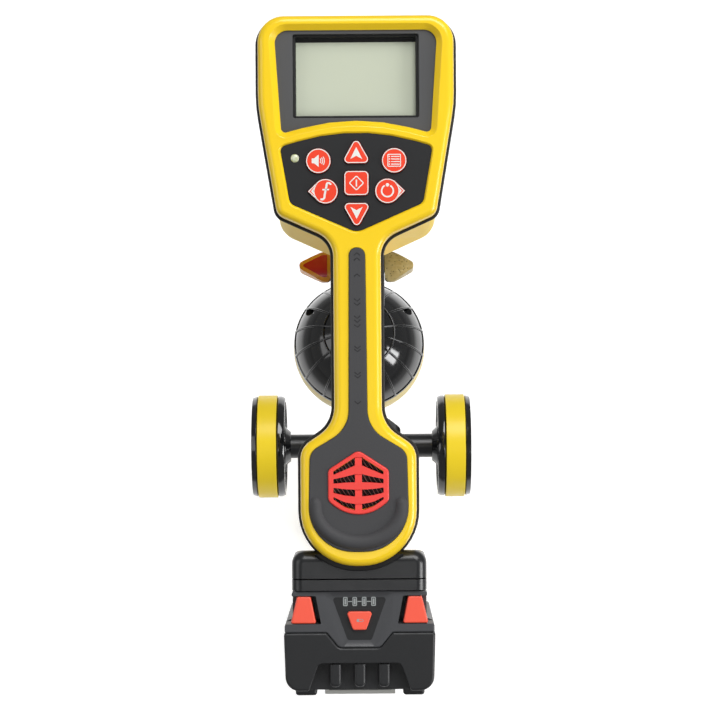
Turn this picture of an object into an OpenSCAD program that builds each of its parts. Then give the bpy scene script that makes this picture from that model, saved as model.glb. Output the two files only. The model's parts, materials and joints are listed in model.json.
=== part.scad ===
// Hand-held utility-line locator with a folding antenna mast.
// Millimetres. Origin under the foot, +Z up the mast, +Y forward, +X to the user's right.
// The top unit is drawn in its own frame: x right, y forward along the handle, z out of the display.

/* [Case outline] */
// Width of the display head
head_w = 109; // [105:0.5:114]
// Front edge of the head, forward of the middle of the handle
head_front = 190; // [188:0.5:198]
// Length of the head's parallel sides, from the front edge
head_straight = 49; // [42:0.5:54]
// Width of the head at its rear corners
waist_w = 88.6; // [86.5:0.5:94]
// Length of the head, front edge to rear corners
head_len = 109.7; // [109:0.2:116]
// Length of the neck between the head's rear corners and the handle
neck_len = 13.8; // [12.5:0.1:15]
// Width of the handle
handle_w = 27.4; // [26.4:0.2:30]
// Where the handle starts to flare into the rear body, behind its middle
flare_back = 34.6; // [33.6:0.1:35.6]
// Where the rear body reaches its full width
rear_full_back = 47.3; // [46.5:0.1:48.5]
// Width of the rear body
rear_w = 65; // [64:0.5:69]
// Rear end of the shells
rear_end_back = 113.6; // [111.5:0.2:116]
// Radius of the front corners of the head
head_corner_r = 15; // [13:0.5:18]

/* [Case depth] */
// Thickness of the face that carries display and keypad
face_t = 4.2; // [4.1:0.1:4.6]
// Wall of the shells
wall = 2.5; // [2:0.1:3]
// Height of the upper shell above the seal
top_h = 13; // [12.5:0.1:14]
// Thickness of the seal between the shells
seal_t = 2; // [1.5:0.1:3]
// How far the seal stands proud of the shells
seal_proud = 1.1; // [0.6:0.1:1.5]
// Radius of the upper edge of the case
edge_r = 4; // [3.6:0.1:4.1]
// Depth of the handle
handle_depth = 32; // [29:0.5:36]
// Depth of the head
head_depth = 62; // [56:0.5:66]
// Depth of the rear body
rear_depth = 50; // [44:0.5:56]

/* [Display and keypad] */
// Yellow frame at each side of the display panel's front
panel_border = 9.6; // [9:0.1:11]
// How much narrower the display panel is at its rear corners
panel_taper = 7.6; // [5:0.1:9]
// Length of the display panel along its sides
panel_len = 56.8; // [55:0.2:58]
// Face left in front of the display panel
panel_margin = 8; // [7.5:0.1:9]
// Rise of the arched rear edge of the display panel
arch_rise = 6.4; // [5:0.1:7]
// Panel at each side of the display window
lens_border = 11.6; // [11:0.1:14]
// Length of the display window
lens_len = 43.4; // [40:0.2:44]
// Width of the slope that leads down to the display panel
window_slope = 3.2; // [2:0.1:3.4]
// Yellow arch between display panel and keypad
arch_band = 6; // [5.6:0.1:7]
// Radius of the round keys
key_r = 6.8; // [6.2:0.05:7]
// How far the keys stand out of the panel
key_proud = 1.6; // [1:0.1:2.2]
// Travel of the keys
key_travel = 1; // [0.6:0.1:1.2]
// Gap between a key and its hole
key_gap = 0.35; // [0.3:0.05:0.5]

/* [Grip and speaker] */
// Width of the rubber strip on the handle
pad_w = 10.2; // [9.2:0.1:11]
// Yellow border left around the rubber at the rear
pad_border = 4.7; // [4.3:0.1:6]
// Depth of the rubber let into the shell
pad_depth = 2; // [1.6:0.1:2.4]
// How far the rubber stands out of the shell
pad_proud = 0.8; // [0.4:0.1:1.4]
// Width of the speaker grille
grille_w = 35; // [34:0.2:37]
// Width of the grille's rim
grille_rim = 2.6; // [2:0.1:2.9]
// Middle of the grille, behind the middle of the handle
grille_back = 67.5; // [66.5:0.1:69]
// Radius of the loudspeaker
speaker_r = 17; // [15.5:0.1:18]

/* [Battery] */
// Width of the battery pack
pack_w = 84; // [82:0.5:90]
// Length of the pack along its rails
pack_len = 115; // [113:0.5:122]
// Depth of the pack half that carries the rails
pack_upper_t = 23.4; // [22.5:0.1:25]
// Depth of the pack half away from the rails
pack_lower_t = 32.5; // [31.5:0.1:36]
// How far the pack's gauge face lies below the display face
pack_drop = 10; // [8:0.5:14]
// Width of the battery dock
dock_w = 74.6; // [72:0.2:80]
// Depth of the dock, front corners to pack
dock_t = 21.7; // [21:0.1:24]
// Height of the dock
dock_h = 66; // [60:0.5:76]
// Clearance of the pack on the rail
rail_gap = 0.4; // [0.3:0.05:0.6]
// Diameter of the battery cells
cell_d = 18.2; // [17.8:0.1:18.4]
// Length of the battery cells
cell_len = 65; // [63:0.5:66]

/* [Mast] */
// Angle between the display's normal and the mast
tilt = 15; // [12:0.5:18]
// Height of the middle of the handle
handle_z = 730; // [720:1:760]
// How far the middle of the handle lies behind the mast
handle_back = 60; // [57:0.5:63]
// Diameter of the mast tubes
mast_d = 24; // [22:0.5:25]
// Wall of the mast tubes
tube_wall = 2; // [1.4:0.1:2.6]
// Wall of the sockets that take the tubes
socket_wall = 2.5; // [2:0.1:3]
// Clearance of the tubes in their sockets
tube_gap = 0.05; // [0.02:0.01:0.1]
// Height of the fold hinge
fold_z = 395; // [390:1:410]
// How far the fold hinge lies in front of the mast
fold_out = 26; // [25.5:0.25:28]
// Diameter of the hinge pin
pin_d = 6; // [5:0.1:7]
// Running clearance of the hinge pin
pin_gap = 0.05; // [0.02:0.01:0.08]

/* [Antennas] */
// Height of the upper antenna ball
upper_node_z = 539; // [534:1:548]
// Radius of the antenna balls
node_r = 41.5; // [40:0.1:43]
// Height of the raised ribs on the balls
rib_h = 0.9; // [0.5:0.1:1.4]
// Number of ribs from the pole to the rim
rib_count = 16; // [12:2:20]
// Height of the cross tube
cross_z = 259; // [252:1:262]
// Diameter of the cross tube
cross_d = 17.8; // [16:0.2:19]
// Radius of the side discs
disc_r = 38.5; // [37:0.1:42]
// Width of the yellow band on a disc
band_w = 14; // [12:0.2:16]
// Middle of the yellow band, from the mast
band_at = 71.4; // [70:0.2:75]
// Depth of a disc's moulded faces beyond the band
face_depth = 7.4; // [6.5:0.1:9]
// Height of the lower antenna ball
lower_node_z = 42; // [41.5:0.1:42.5]
// Radius of the wear pad under the foot
foot_r = 14; // [12:0.5:16]

/* [Markers] */
// Height of the marker holder
marker_z = 658; // [652:0.5:659]
// How far the markers lie in front of the mast
marker_out = 18.4; // [17:0.2:20]
// Distance of a marker's tip from the mast
marker_reach = 34; // [31:0.5:38]
// Width of a marker
marker_w = 18; // [16:0.2:20]
// Thickness of a marker
marker_t = 8; // [7:0.1:9]

/* [Hidden] */
$fn = 64;

yellow = "#FBD81E";
cream = "#F2DF9A";
black = "#1A1B1D";
dark = "#3A3B3D";
rubber = "#4A4A4C";
red = "#FA4F32";
copper = "#B87333";
steel = "#B8BCC0";

// Overlap that makes cuts pass through and unions join
over = 0.5;
// Gap of parts that are dropped into a seat
seat_gap = 0.1;
// Steps of a rounded corner, and the turn of each step of a rounded edge
arc_steps = 6;
edge_turn = 15;
// Segments round the pointed keys
key_steps = 36;

// Levels of the top unit, from the face downwards
seal_top = -top_h;
seal_low = seal_top - seal_t;

// Places of the top unit
head_full = head_front - head_straight;
waist_at = head_front - head_len;
neck_at = waist_at - neck_len;
panel_w = head_w - 2 * panel_border;
panel_rear_w = panel_w - panel_taper;
panel_front = head_front - panel_margin;
panel_rear = panel_front - panel_len;
panel_r = 7;
shoulder_r = 80;
window_land = 1;
lens_w = panel_w - 2 * lens_border;
lens_front = panel_front - 3.4;
lens_rear = lens_front - lens_len;
lens_t = 2;
bezel_t = 2;
bezel_lap = 2;
bezel_low = -face_t - bezel_t;
lcd_border = 2.5;
lcd_t = 5;
board_top = bezel_low - lcd_t;
board_t = 1.6;
keypad_front = panel_rear + arch_rise - arch_band;
keypad_corner = keypad_front - 7.8;
keypad_waist = neck_at + 20.1;
keypad_rear = neck_at + 4.8;
keypad_extra = 0.9;
keypad_border = 7.7;
keypad_tip_border = 7.9;
keypad_w = panel_rear_w + 2 * keypad_extra;
keypad_waist_w = waist_w - 2 * keypad_border;
keypad_tip_w = handle_w - 2 * keypad_tip_border;
keypad_r = 7;
keypad_sink = 1;
keypad_flange_t = 1.5;
keypad_low = -face_t - keypad_flange_t;
mat_t = 2;
key_flange = 1;
key_flange_t = 1.8;
key_flange_top = keypad_low - 0.3;
key_low = key_flange_top - key_flange_t;
key_top = key_proud - keypad_sink;
mat_top = key_low - key_travel - 0.3;
// Middle of the select key, and the places of the keys around it
keys_at = keypad_front - 28;
key_side_rise = 12.3;
key_low_x = 17;
key_low_drop = 4.4;
key_arrow_rise = 17.2;
key_point = 9.7;
arrow_half = 8.2;
arrow_low = -6.35;
arrow_high = 8.4;
arrow_r = 2.3;
square_half = 6.7;
square_r = 2.5;
led_rise = 13.9;
led_r = 2.5;
// Room beside the up key that the side key and the light leave free, and its share on either side of them
key_room = keypad_w / 2 - arrow_half - 2 * key_r - 2 * led_r;
key_share = 5.8 / 15.2;
key_side_x = arrow_half + key_room * key_share + key_r;
led_x = key_room * key_share + led_r - keypad_w / 2;
boss_r = 2.4;
boss_front = head_front - 25;
boss_front_x = head_w / 2 - 4.5;
boss_rear = waist_at + 11.7;
boss_rear_x = waist_w / 2 - 1.8;

pad_rear_back = rear_end_back - 9.1;
pad_front = neck_at - 4.3;
grille_proud = 1.8;
grille_seat = -pad_depth;
mesh_t = 0.6;
speaker_t = top_h + seal_t - face_t - mesh_t - 0.4;
room_share = 0.58;
room_front_back = flare_back + room_share * (rear_full_back - flare_back);
room_end_back = rear_end_back - 6;
tub_in = 1.2;
tub_start = handle_depth - 4;
screw_r = 1.4;
screw_head_r = 3;
screw_at = [18, -2, -22];

dock_front_back = rear_end_back - 8.7;
pack_back = dock_front_back + dock_t;
pack_mid_back = pack_back + pack_upper_t;
pack_end_back = pack_mid_back + pack_lower_t;
pack_top = -pack_drop;
pack_low = pack_top - pack_len;
dock_top = pack_top + 2;
dock_low = dock_top - dock_h;
dock_edge_r = 6;
dock_low_r = 3;
rail_neck = 24;
rail_head = 32;
rail_step = 3;
rail_top = pack_top - 12;
rail_low = dock_low + 4;
terminal_w = 20;
terminal_t = 5;
terminal_h = 6;
blade_t = 1;
blade_pitch = 6;
blade_len = 22;
release_at = 3.4;
release_len = 15;
release_in_front = 27;
release_in_rear = 24;
release_out_front = 34.5;
release_proud = 0.6;
release_travel = 2.5;
release_gap = 0.3;
release_depth = 18;
gauge_margin = 0.7;
gauge_half = 17.8;
gauge_rear_half = 7.4;
gauge_len = 28.5;
gauge_t = 1.2;
gauge_sink = 1;
gauge_well = 6;
gauge_button_at = 11.8;
gauge_button_half = 7.3;
gauge_button_rear_half = 3.7;
gauge_button_len = 10.2;
gauge_button_proud = 0.4;
gauge_button_travel = 0.8;
button_gap = 0.3;
recess_len = 15.5;
recess_half = 22.7;
recess_rear_half = 28.5;
recess_depth = 6;
fin_pitch = 13.5;
fin_t = 4;
fin_short = 1.5;
fin_drop = 1;
pack_foot_at = 30;
pack_foot_half = 6;
pack_foot_h = 4;
pack_foot_margin = 12;
base_half = 19.6;
base_t = 3.4;
base_margin = 14;
cell_pitch = cell_d + 0.2;

// Mast levels. The mast axis crosses the level w of the top unit at height mast_z(w)
function mast_z(w) = handle_z + (w + handle_back * sin(tilt)) / cos(tilt);
mast_r = mast_d / 2;
socket_r = mast_r + socket_wall;
mast_top = mast_z(-handle_depth + 5);
socket_low = mast_z(-head_depth - 6);
collar_h = 6;
holder_h = 22;
knuckle_r = mast_r + 4;
knuckle_len = 46;
ear_half = 7;
ear_gap = 0.4;
ear_t = 6;
ear_r = 9;
fold_gap = 0.5;
button_r = 6;
button_travel = 3;
button_z = fold_z + 26;
button_out = knuckle_r + 8;

node_wall = 2.5;
node_split = 8;
coil_gap = 0.2;
coil_r = 30;
coil_half = 8;
sleeve_half = 20;
sleeve_t = 2;
node_screw_len = 9;
node_boss_len = 15;
node_base_boss = 14;
screw_head_t = 2;
foot_t = 4;

disc_face_in = band_at - band_w / 2 - face_depth;
disc_face_out = band_at + band_w / 2 + face_depth * 0.5;
disc_wall = 2.4;
hub_r = 14.5;
hub_end_r = 11;
hub_end = disc_face_in - 4;
disc_rib_count = 16;
tee_half = 29.5;
tee_depth = 44;
tee_flat = 14;
tee_side = cross_d / 2 + 2;
tee_low = 46;
tee_shoulder = 12.5;
tee_rise = 4;
tee_clear = 9.75;
tee_neck = fold_z - fold_gap / 2 - knuckle_len - tee_clear - cross_z;

// Points and outlines

function unit2(a) = a / norm(a);
function turned(p, a) = [p[0] * cos(a) - p[1] * sin(a), p[0] * sin(a) + p[1] * cos(a)];

// One rounded corner [x, y, radius] between its neighbours, moved inwards by inset
function corner(before, at, after, inset) =
    let (p = [at[0], at[1]],
        a = unit2([before[0], before[1]] - p),
        b = unit2([after[0], after[1]] - p),
        half = acos(a * b) / 2,
        way = sign(cross(-a, b)),
        centre = p + unit2(a + b) * at[2] / sin(half),
        first = unit2(p + a * at[2] / tan(half) - centre),
        sweep = (180 - 2 * half) * way)
    [for (i = [0 : arc_steps]) centre + turned(first, sweep * i / arc_steps) * (at[2] - inset * way)];

// A closed outline from rounded corners given anticlockwise
function outline(corners, inset = 0) =
    let (n = len(corners))
    [for (i = [0 : n - 1]) each corner(corners[(i + n - 1) % n], corners[i], corners[(i + 1) % n], inset)];

// Corners of the right side, rear to front, with their mirror images
function both_sides(right) =
    concat(right, [for (i = [len(right) - 1 : -1 : 0]) [-right[i][0], right[i][1], right[i][2]]]);

// An outline lifted to height z and moved forward
function ring(points, z, forward = 0) = [for (p = points) [p[0], p[1] + forward, z]];

// A solid through rings of equal count, lowest first
module loft(rings) {
    n = len(rings[0]);
    m = len(rings);
    sides = [for (k = [0 : m - 2], i = [0 : n - 1])
        let (j = (i + 1) % n)
        each [[k * n + i, (k + 1) * n + i, (k + 1) * n + j], [k * n + i, (k + 1) * n + j, k * n + j]]];
    low = [for (i = [0 : n - 1]) i];
    high = [for (i = [n - 1 : -1 : 0]) (m - 1) * n + i];
    polyhedron(points = [for (r = rings) each r], faces = concat([low, high], sides));
}

// A plate with an outline, between two heights
module plate(points, low, high) {
    translate([0, 0, low]) linear_extrude(height = high - low) polygon(points);
}

module bar(x, y, z) {
    translate([x[0], y[0], z[0]]) cube([x[1] - x[0], y[1] - y[0], z[1] - z[0]]);
}

module rod(r, low, high) {
    translate([0, 0, low]) cylinder(r = r, h = high - low);
}

// A rod along x
module cross_rod(r, from, to) {
    translate([from, 0, 0]) rotate([0, 90, 0]) cylinder(r = r, h = to - from);
}

// Frame of the top unit
module unit() {
    translate([0, -handle_back, handle_z]) rotate([tilt, 0, 0]) children();
}

// The mast as seen from the frame of the top unit
module mast_in_unit() {
    rotate([-tilt, 0, 0]) translate([0, handle_back, -handle_z]) children();
}

// Case outlines
waist_r = 7;
neck_r = 14;
flare_r = 18;
rear_corner_r = 12;
rear_end_r = rear_w / 2 - 1.5;
case_corners = both_sides([
    [rear_w / 2, -rear_end_back, rear_end_r],
    [rear_w / 2, -rear_full_back, rear_corner_r],
    [handle_w / 2, -flare_back, flare_r],
    [handle_w / 2, neck_at, neck_r],
    [waist_w / 2, waist_at, waist_r],
    [head_w / 2, head_full, shoulder_r],
    [head_w / 2, head_front, head_corner_r]]);
head_corners = both_sides([
    [handle_w / 2, neck_at, 12],
    [waist_w / 2, waist_at, 14],
    [head_w / 2, head_full, shoulder_r],
    [head_w / 2, head_front, head_corner_r]]);
rear_corners = both_sides([
    [rear_w / 2, -rear_end_back, rear_end_r],
    [rear_w / 2, -rear_full_back, 15]]);
room_front_half = handle_w / 2 + room_share * (rear_w - handle_w) / 2;
room_corners = both_sides([
    [rear_w / 2, -room_end_back, rear_end_r],
    [rear_w / 2, -rear_full_back, rear_corner_r],
    [room_front_half, -room_front_back, 4.5]]);
panel_corners = [
    [0, panel_rear + arch_rise, 120],
    [panel_rear_w / 2, panel_rear, panel_r],
    [panel_w / 2, panel_front, panel_r],
    [-panel_w / 2, panel_front, panel_r],
    [-panel_rear_w / 2, panel_rear, panel_r]];
keypad_corners = [
    [keypad_tip_w / 2, keypad_rear, 9],
    [keypad_waist_w / 2, keypad_waist, keypad_r],
    [keypad_w / 2, keypad_corner, keypad_r],
    [0, keypad_front, 120],
    [-keypad_w / 2, keypad_corner, keypad_r],
    [-keypad_waist_w / 2, keypad_waist, keypad_r],
    [-keypad_tip_w / 2, keypad_rear, 9]];
pad_rear_half = rear_w / 2 - pad_border;
pad_taper = 1.2;
pad_corners = both_sides([
    [pad_rear_half, -pad_rear_back, pad_rear_half - 3.5],
    [pad_rear_half - pad_taper, -rear_full_back - 2.5, 8.5],
    [pad_w / 2, -flare_back - 2.4, flare_r],
    [pad_w / 2, pad_front, pad_w / 2 - 0.1]]);
ridge_corners = both_sides([
    [pad_rear_half, -pad_rear_back, pad_rear_half - 3.5],
    [pad_rear_half, -rear_full_back, 8]]);
grille_corners = [
    [0, -grille_back - 21.9, 21],
    [grille_w / 2, -grille_back - 9.2, 4],
    [grille_w / 2, -grille_back + 7.9, 3.5],
    [0, -grille_back + 18.7, 4],
    [-grille_w / 2, -grille_back + 7.9, 3.5],
    [-grille_w / 2, -grille_back - 9.2, 4]];

// Shells of the top unit

// Quarter-round rim along the case outline, its top at height 0
module case_rim() {
    arc = [for (a = [0 : edge_turn : 90]) [edge_r * (1 - cos(a)), edge_r * (sin(a) - 1)]];
    rings = [for (e = concat(arc, [[edge_r, -edge_r]])) ring(outline(case_corners, e[0]), e[1])];
    n = len(rings[0]);
    m = len(rings);
    sides = [for (k = [0 : m - 1], i = [0 : n - 1])
        let (j = (i + 1) % n, l = (k + 1) % m)
        each [[k * n + i, l * n + i, l * n + j], [k * n + i, l * n + j, k * n + j]]];
    polyhedron(points = [for (r = rings) each r], faces = sides);
}

// Outline in the plane of the display, carried along the mast to a plane across the mast
function along_mast(points, w) =
    [for (p = points) [p[0], -handle_back + p[1] * cos(tilt) - w * sin(tilt)]];

module screw_holes(r, low, high) {
    for (v = screw_at) translate([0, v, 0]) rod(r, low, high);
}

// Tub under the head, its walls parallel to the mast
module head_tub(inset, low, high) {
    intersection() {
        mast_in_unit() plate(along_mast(outline(head_corners, inset), -tub_start),
            mast_z(-2 * head_depth), mast_z(head_depth));
        bar([-head_w, head_w], [0, 2 * head_front], [low, high]);
    }
}

// Sloping edge of the display window
module window_funnel() {
    depth = face_t - window_land;
    loft([ring(outline(panel_corners), -depth),
        ring(outline(panel_corners, -window_slope * (depth + over) / depth), over)]);
}

module top_shell() {
    color(yellow) unit() difference() {
        union() {
            difference() {
                union() {
                    plate(outline(case_corners), seal_top, -edge_r);
                    plate(outline(case_corners, edge_r), seal_top, 0);
                    case_rim();
                }
                plate(outline(head_corners, wall), seal_top - over, -face_t);
                plate(outline(room_corners, wall), seal_top - over, -face_t);
            }
            for (s = [-1, 1], b = [[boss_front_x, boss_front], [boss_rear_x, boss_rear]])
                translate([s * b[0], b[1], 0]) rod(boss_r, board_top, -face_t + over);
        }
        plate(outline(panel_corners), -face_t - over, over);
        window_funnel();
        plate(outline(keypad_corners), -face_t - over, over);
        plate(outline(pad_corners, -seat_gap), -pad_depth, pad_proud);
        plate(outline(grille_corners, grille_rim), -face_t - over, over);
        screw_holes(screw_r + seat_gap, seal_top - over, -5);
    }
}

module bottom_shell() {
    color(yellow) unit() difference() {
        union() {
            plate(outline(case_corners), -handle_depth, seal_low);
            head_tub(tub_in, -head_depth, -tub_start);
            plate(outline(rear_corners, tub_in), -rear_depth, -tub_start);
            mast_in_unit() rod(socket_r, socket_low, mast_top + wall);
        }
        head_tub(tub_in + wall, -head_depth + wall, -tub_start + over);
        plate(outline(head_corners, tub_in + wall), -tub_start, seal_low + over);
        plate(outline(rear_corners, tub_in + wall), -rear_depth + wall, seal_low + over);
        mast_in_unit() rod(mast_r + tube_gap, socket_low - over, mast_top + seat_gap);
        screw_holes(screw_r + seat_gap, -handle_depth - over, seal_low + over);
        screw_holes(screw_head_r + seat_gap, -handle_depth - over, -handle_depth + 6);
    }
}

module shell_seal() {
    color(black) unit() difference() {
        plate(outline(case_corners, -seal_proud), seal_low, seal_top);
        plate(outline(head_corners, wall + 1.2), seal_low - over, seal_top + over);
        plate(outline(room_corners, wall), seal_low - over, seal_top + over);
        screw_holes(screw_r + seat_gap, seal_low - over, seal_top + over);
    }
}

module handset_screws() {
    color(steel) unit() for (v = screw_at) translate([0, v, 0]) {
        rod(screw_r, -handle_depth + 6, -6);
        rod(screw_head_r, -handle_depth + 3.5, -handle_depth + 6);
    }
}

// Display

module lens_window(gap, low, high) {
    bar([-lens_w / 2 - gap, lens_w / 2 + gap], [lens_rear - gap, lens_front + gap], [low, high]);
}

module display_bezel() {
    color(dark) unit() difference() {
        plate(outline(panel_corners, -bezel_lap), bezel_low, -face_t);
        lens_window(seat_gap, bezel_low - over, over);
    }
}

module display_lens() {
    color("#C6CDB8") unit() lens_window(0, bezel_low, bezel_low + lens_t - 0.2);
}

module lcd_module() {
    color("#8F9688") unit() lens_window(lcd_border, board_top, bezel_low);
}

module main_board() {
    color("#1F6B3A") unit() plate(outline(head_corners, wall + 1.5), board_top - board_t, board_top);
}

// Keypad

// Outline of a key, grown by a margin and centred on the key
module key_prism(kind, grow, low, high) {
    if (kind == "round") rod(key_r + grow, low, high);
    if (kind == "square") plate(outline(both_sides([[square_half, -square_half, square_r],
        [square_half, square_half, square_r]]), -grow), low, high);
    if (kind == "arrow") plate(outline([[arrow_half, arrow_low, arrow_r], [0, arrow_high, arrow_r],
        [-arrow_half, arrow_low, arrow_r]], -grow), low, high);
    if (kind == "pointed") {
        r = key_r + grow;
        tip = key_point + grow / cos(45);
        touch = acos(r / tip);
        round_side = [for (i = [0 : key_steps]) turned([r, 0], touch + (360 - 2 * touch) * i / key_steps)];
        plate(concat(round_side, [[tip, 0]]), low, high);
    }
}

// Kind, place and turn of each key
key_kinds = [
    ["sound", "round", -key_side_x, key_side_rise, 0],
    ["up", "arrow", 0, key_arrow_rise, 0],
    ["menu", "round", key_side_x, key_side_rise, 0],
    ["left", "pointed", -key_low_x, -key_low_drop, 180],
    ["select", "square", 0, 0, 0],
    ["right", "pointed", key_low_x, -key_low_drop, 0],
    ["down", "arrow", 0, -key_arrow_rise, 180]];

module at_key(k) {
    translate([k[2], keys_at + k[3], 0]) rotate([0, 0, k[4]]) children();
}

module key(name) {
    color(red) unit() for (k = key_kinds) if (k[0] == name) at_key(k) {
        key_prism(k[1], 0, key_flange_top - over, key_top);
        key_prism(k[1], key_flange, key_low, key_flange_top);
    }
}

module key_sound() { key("sound"); }
module key_up() { key("up"); }
module key_menu() { key("menu"); }
module key_left() { key("left"); }
module key_select() { key("select"); }
module key_right() { key("right"); }
module key_down() { key("down"); }

module at_led() {
    translate([led_x, keys_at + led_rise, 0]) children();
}

module keypad_panel() {
    color(black) unit() difference() {
        union() {
            plate(outline(keypad_corners, -bezel_lap), keypad_low, -face_t);
            plate(outline(keypad_corners, seat_gap), -face_t - over, -keypad_sink);
        }
        for (k = key_kinds) at_key(k) key_prism(k[1], key_gap, keypad_low - over, over);
        at_led() rod(led_r + seat_gap, keypad_low - over, over);
    }
}

module keypad_mat() {
    color(rubber) unit() difference() {
        union() {
            plate(outline(keypad_corners, 2), board_top, mat_top - 0.6);
            for (k = key_kinds) at_key(k) rod(4, mat_top - 0.6 - over, mat_top);
        }
        at_led() rod(led_r + 1, board_top - over, mat_top + over);
    }
}

module status_led() {
    color("#DDE6D8") unit() at_led() rod(led_r, board_top, -keypad_sink + 0.5);
}

// Grip and speaker

module grip_pad() {
    ridge_from = -grille_back - 8;
    color(rubber) unit() difference() {
        union() {
            plate(outline(pad_corners), -pad_depth, pad_proud);
            intersection() {
                difference() {
                    plate(outline(ridge_corners, 1.2), pad_proud - over, pad_proud + 1.6);
                    plate(outline(ridge_corners, 6.6), pad_proud - 2 * over, pad_proud + 2);
                }
                bar([-rear_w, rear_w], [-pad_rear_back, ridge_from], [-pad_depth, pad_proud + 3]);
            }
        }
        plate(outline(grille_corners, -seat_gap), -pad_depth - over, pad_proud + over);
    }
}

// Slots of the grille: outer and inner ends of the front and rear edges, from the grille's middle
slot_rows = [[6.6, 14.2, 5.2, 10.3], [2.2, 5.2, 0.8, 1], [-2.3, -3.2, -4.6, -6.5], [-7.1, -10.7, -7.8, -14.1]];
slot_bar = 4.1;

module speaker_grille() {
    slot_out = grille_w / 2 - grille_rim - 1;
    color(red) unit() difference() {
        plate(outline(grille_corners), grille_seat, grille_proud);
        for (s = [-1, 1], e = slot_rows)
            translate([0, -grille_back, 0]) plate([[s * slot_out, e[0]], [s * slot_bar / 2, e[1]],
                [s * slot_bar / 2, e[3]], [s * slot_out, e[2]]], grille_seat - over, grille_proud + over);
    }
}

module speaker_mesh() {
    color(dark) unit() plate(outline(grille_corners, 1), -face_t - mesh_t, -face_t);
}

module speaker_driver() {
    color(black) unit() translate([0, -grille_back, 0]) difference() {
        rod(speaker_r, -face_t - mesh_t - speaker_t, -face_t - mesh_t);
        rod(speaker_r - 3, -face_t - mesh_t - 2, -face_t - mesh_t + over);
    }
}

// Battery dock and pack

dock_corners = both_sides([[dock_w / 2, -pack_back, 1.5], [dock_w / 2, -dock_front_back, 6]]);

module battery_dock() {
    band = 5.9;
    color(black) unit() difference() {
        intersection() {
            plate(outline(dock_corners), dock_low, dock_top);
            rotate([90, 0, 0]) linear_extrude(height = 3 * pack_back, center = true)
                polygon(outline(both_sides([[dock_w / 2, dock_low, dock_low_r],
                    [dock_w / 2, dock_top, dock_edge_r]])));
        }
        plate(outline(case_corners, -seal_proud - seat_gap), dock_low - over, dock_top + over);
        for (s = [-1, 1]) translate([s * dock_w / 2, 0, 0])
            bar([-0.8, 0.8], [-pack_back + band, -pack_back + band + 1], [dock_low - over, dock_top + over]);
        bar([-dock_w, dock_w], [-pack_back - over, -pack_back + band], [dock_top - 2, dock_top + over]);
    }
}

module dock_rail() {
    color(dark) unit() {
        bar([-rail_neck / 2, rail_neck / 2], [-pack_back - rail_step - over, -pack_back],
            [rail_low, rail_top]);
        bar([-rail_head / 2, rail_head / 2], [-pack_back - 2 * rail_step, -pack_back - rail_step],
            [rail_low, rail_top]);
    }
}

module dock_terminals() {
    terminal_face = -pack_back - 2 * rail_step;
    color(steel) unit() {
        bar([-terminal_w / 2, terminal_w / 2], [terminal_face - terminal_t, terminal_face],
            [rail_low, rail_low + terminal_h]);
        for (x = [-blade_pitch, 0, blade_pitch]) bar([x - blade_t / 2, x + blade_t / 2],
            [terminal_face - terminal_t, terminal_face - 1],
            [rail_low + terminal_h - over, rail_low + blade_len]);
    }
}

slide_gap = 0.3;
pack_face = -pack_back - slide_gap;
pack_waist = pack_w / 2 - 4.5;
pack_shoulder = pack_w / 2 - 0.5;
// Tongue of the upper case that dips into the lower case
tongue_drop = 8.4;
tongue_top_half = 18.2;
tongue_low_half = 11.4;
dip_corners = [[tongue_low_half, -pack_mid_back - tongue_drop, 4], [tongue_top_half, -pack_mid_back, 2]];
pack_upper_corners = both_sides(concat(dip_corners, [
    [pack_shoulder, -pack_mid_back, 1],
    [pack_shoulder, -pack_mid_back + 4.6, 1],
    [pack_waist, -pack_mid_back + 6, 1],
    [pack_waist, pack_face, 2]]));
pack_lower_corners = both_sides([
    [pack_w / 2 - 1, -pack_end_back, 6],
    [pack_w / 2, -pack_mid_back, 1],
    dip_corners[1], dip_corners[0]]);
cell_gap = 0.2;
cells_floor = -pack_end_back + wall + cell_gap;
cells_low = pack_low + wall + cell_gap;

module cell_room() {
    bar([-cell_len / 2 - cell_gap, cell_len / 2 + cell_gap],
        [cells_floor - cell_gap, cells_floor + 2 * cell_pitch + cell_gap],
        [cells_low - cell_gap, cells_low + 5 * cell_pitch + cell_gap]);
}

// Trapezoid that narrows towards the rear, with rounded corners
module wedge(front, half_front, half_rear, len, inset, low, high) {
    plate(outline([[-half_front, front, 1.5], [-half_rear, front - len, 1.5], [half_rear, front - len, 1.5],
        [half_front, front, 1.5]], inset), low, high);
}

module gauge_shape(inset, low, high) {
    wedge(pack_face - gauge_margin, gauge_half, gauge_rear_half, gauge_len, inset, low, high);
}

module gauge_button_shape(inset, low, high) {
    wedge(-pack_back - gauge_button_at, gauge_button_half, gauge_button_rear_half, gauge_button_len,
        inset, low, high);
}

// Release button on the right: narrow at the front, with room inwards and outwards
module release_block(gap, inward, outward_front, outward_rear) {
    front = -pack_back - release_at;
    rear = front - release_len;
    plate([[release_in_front - gap - inward, front + gap], [release_in_rear - gap - inward, rear - gap],
        [outward_rear, rear - gap], [outward_front, front + gap]],
        pack_top - release_depth - gap, pack_top + gap);
}

module release() {
    color(red) unit() release_block(0, 0, release_out_front, pack_waist + release_proud);
}

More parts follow.
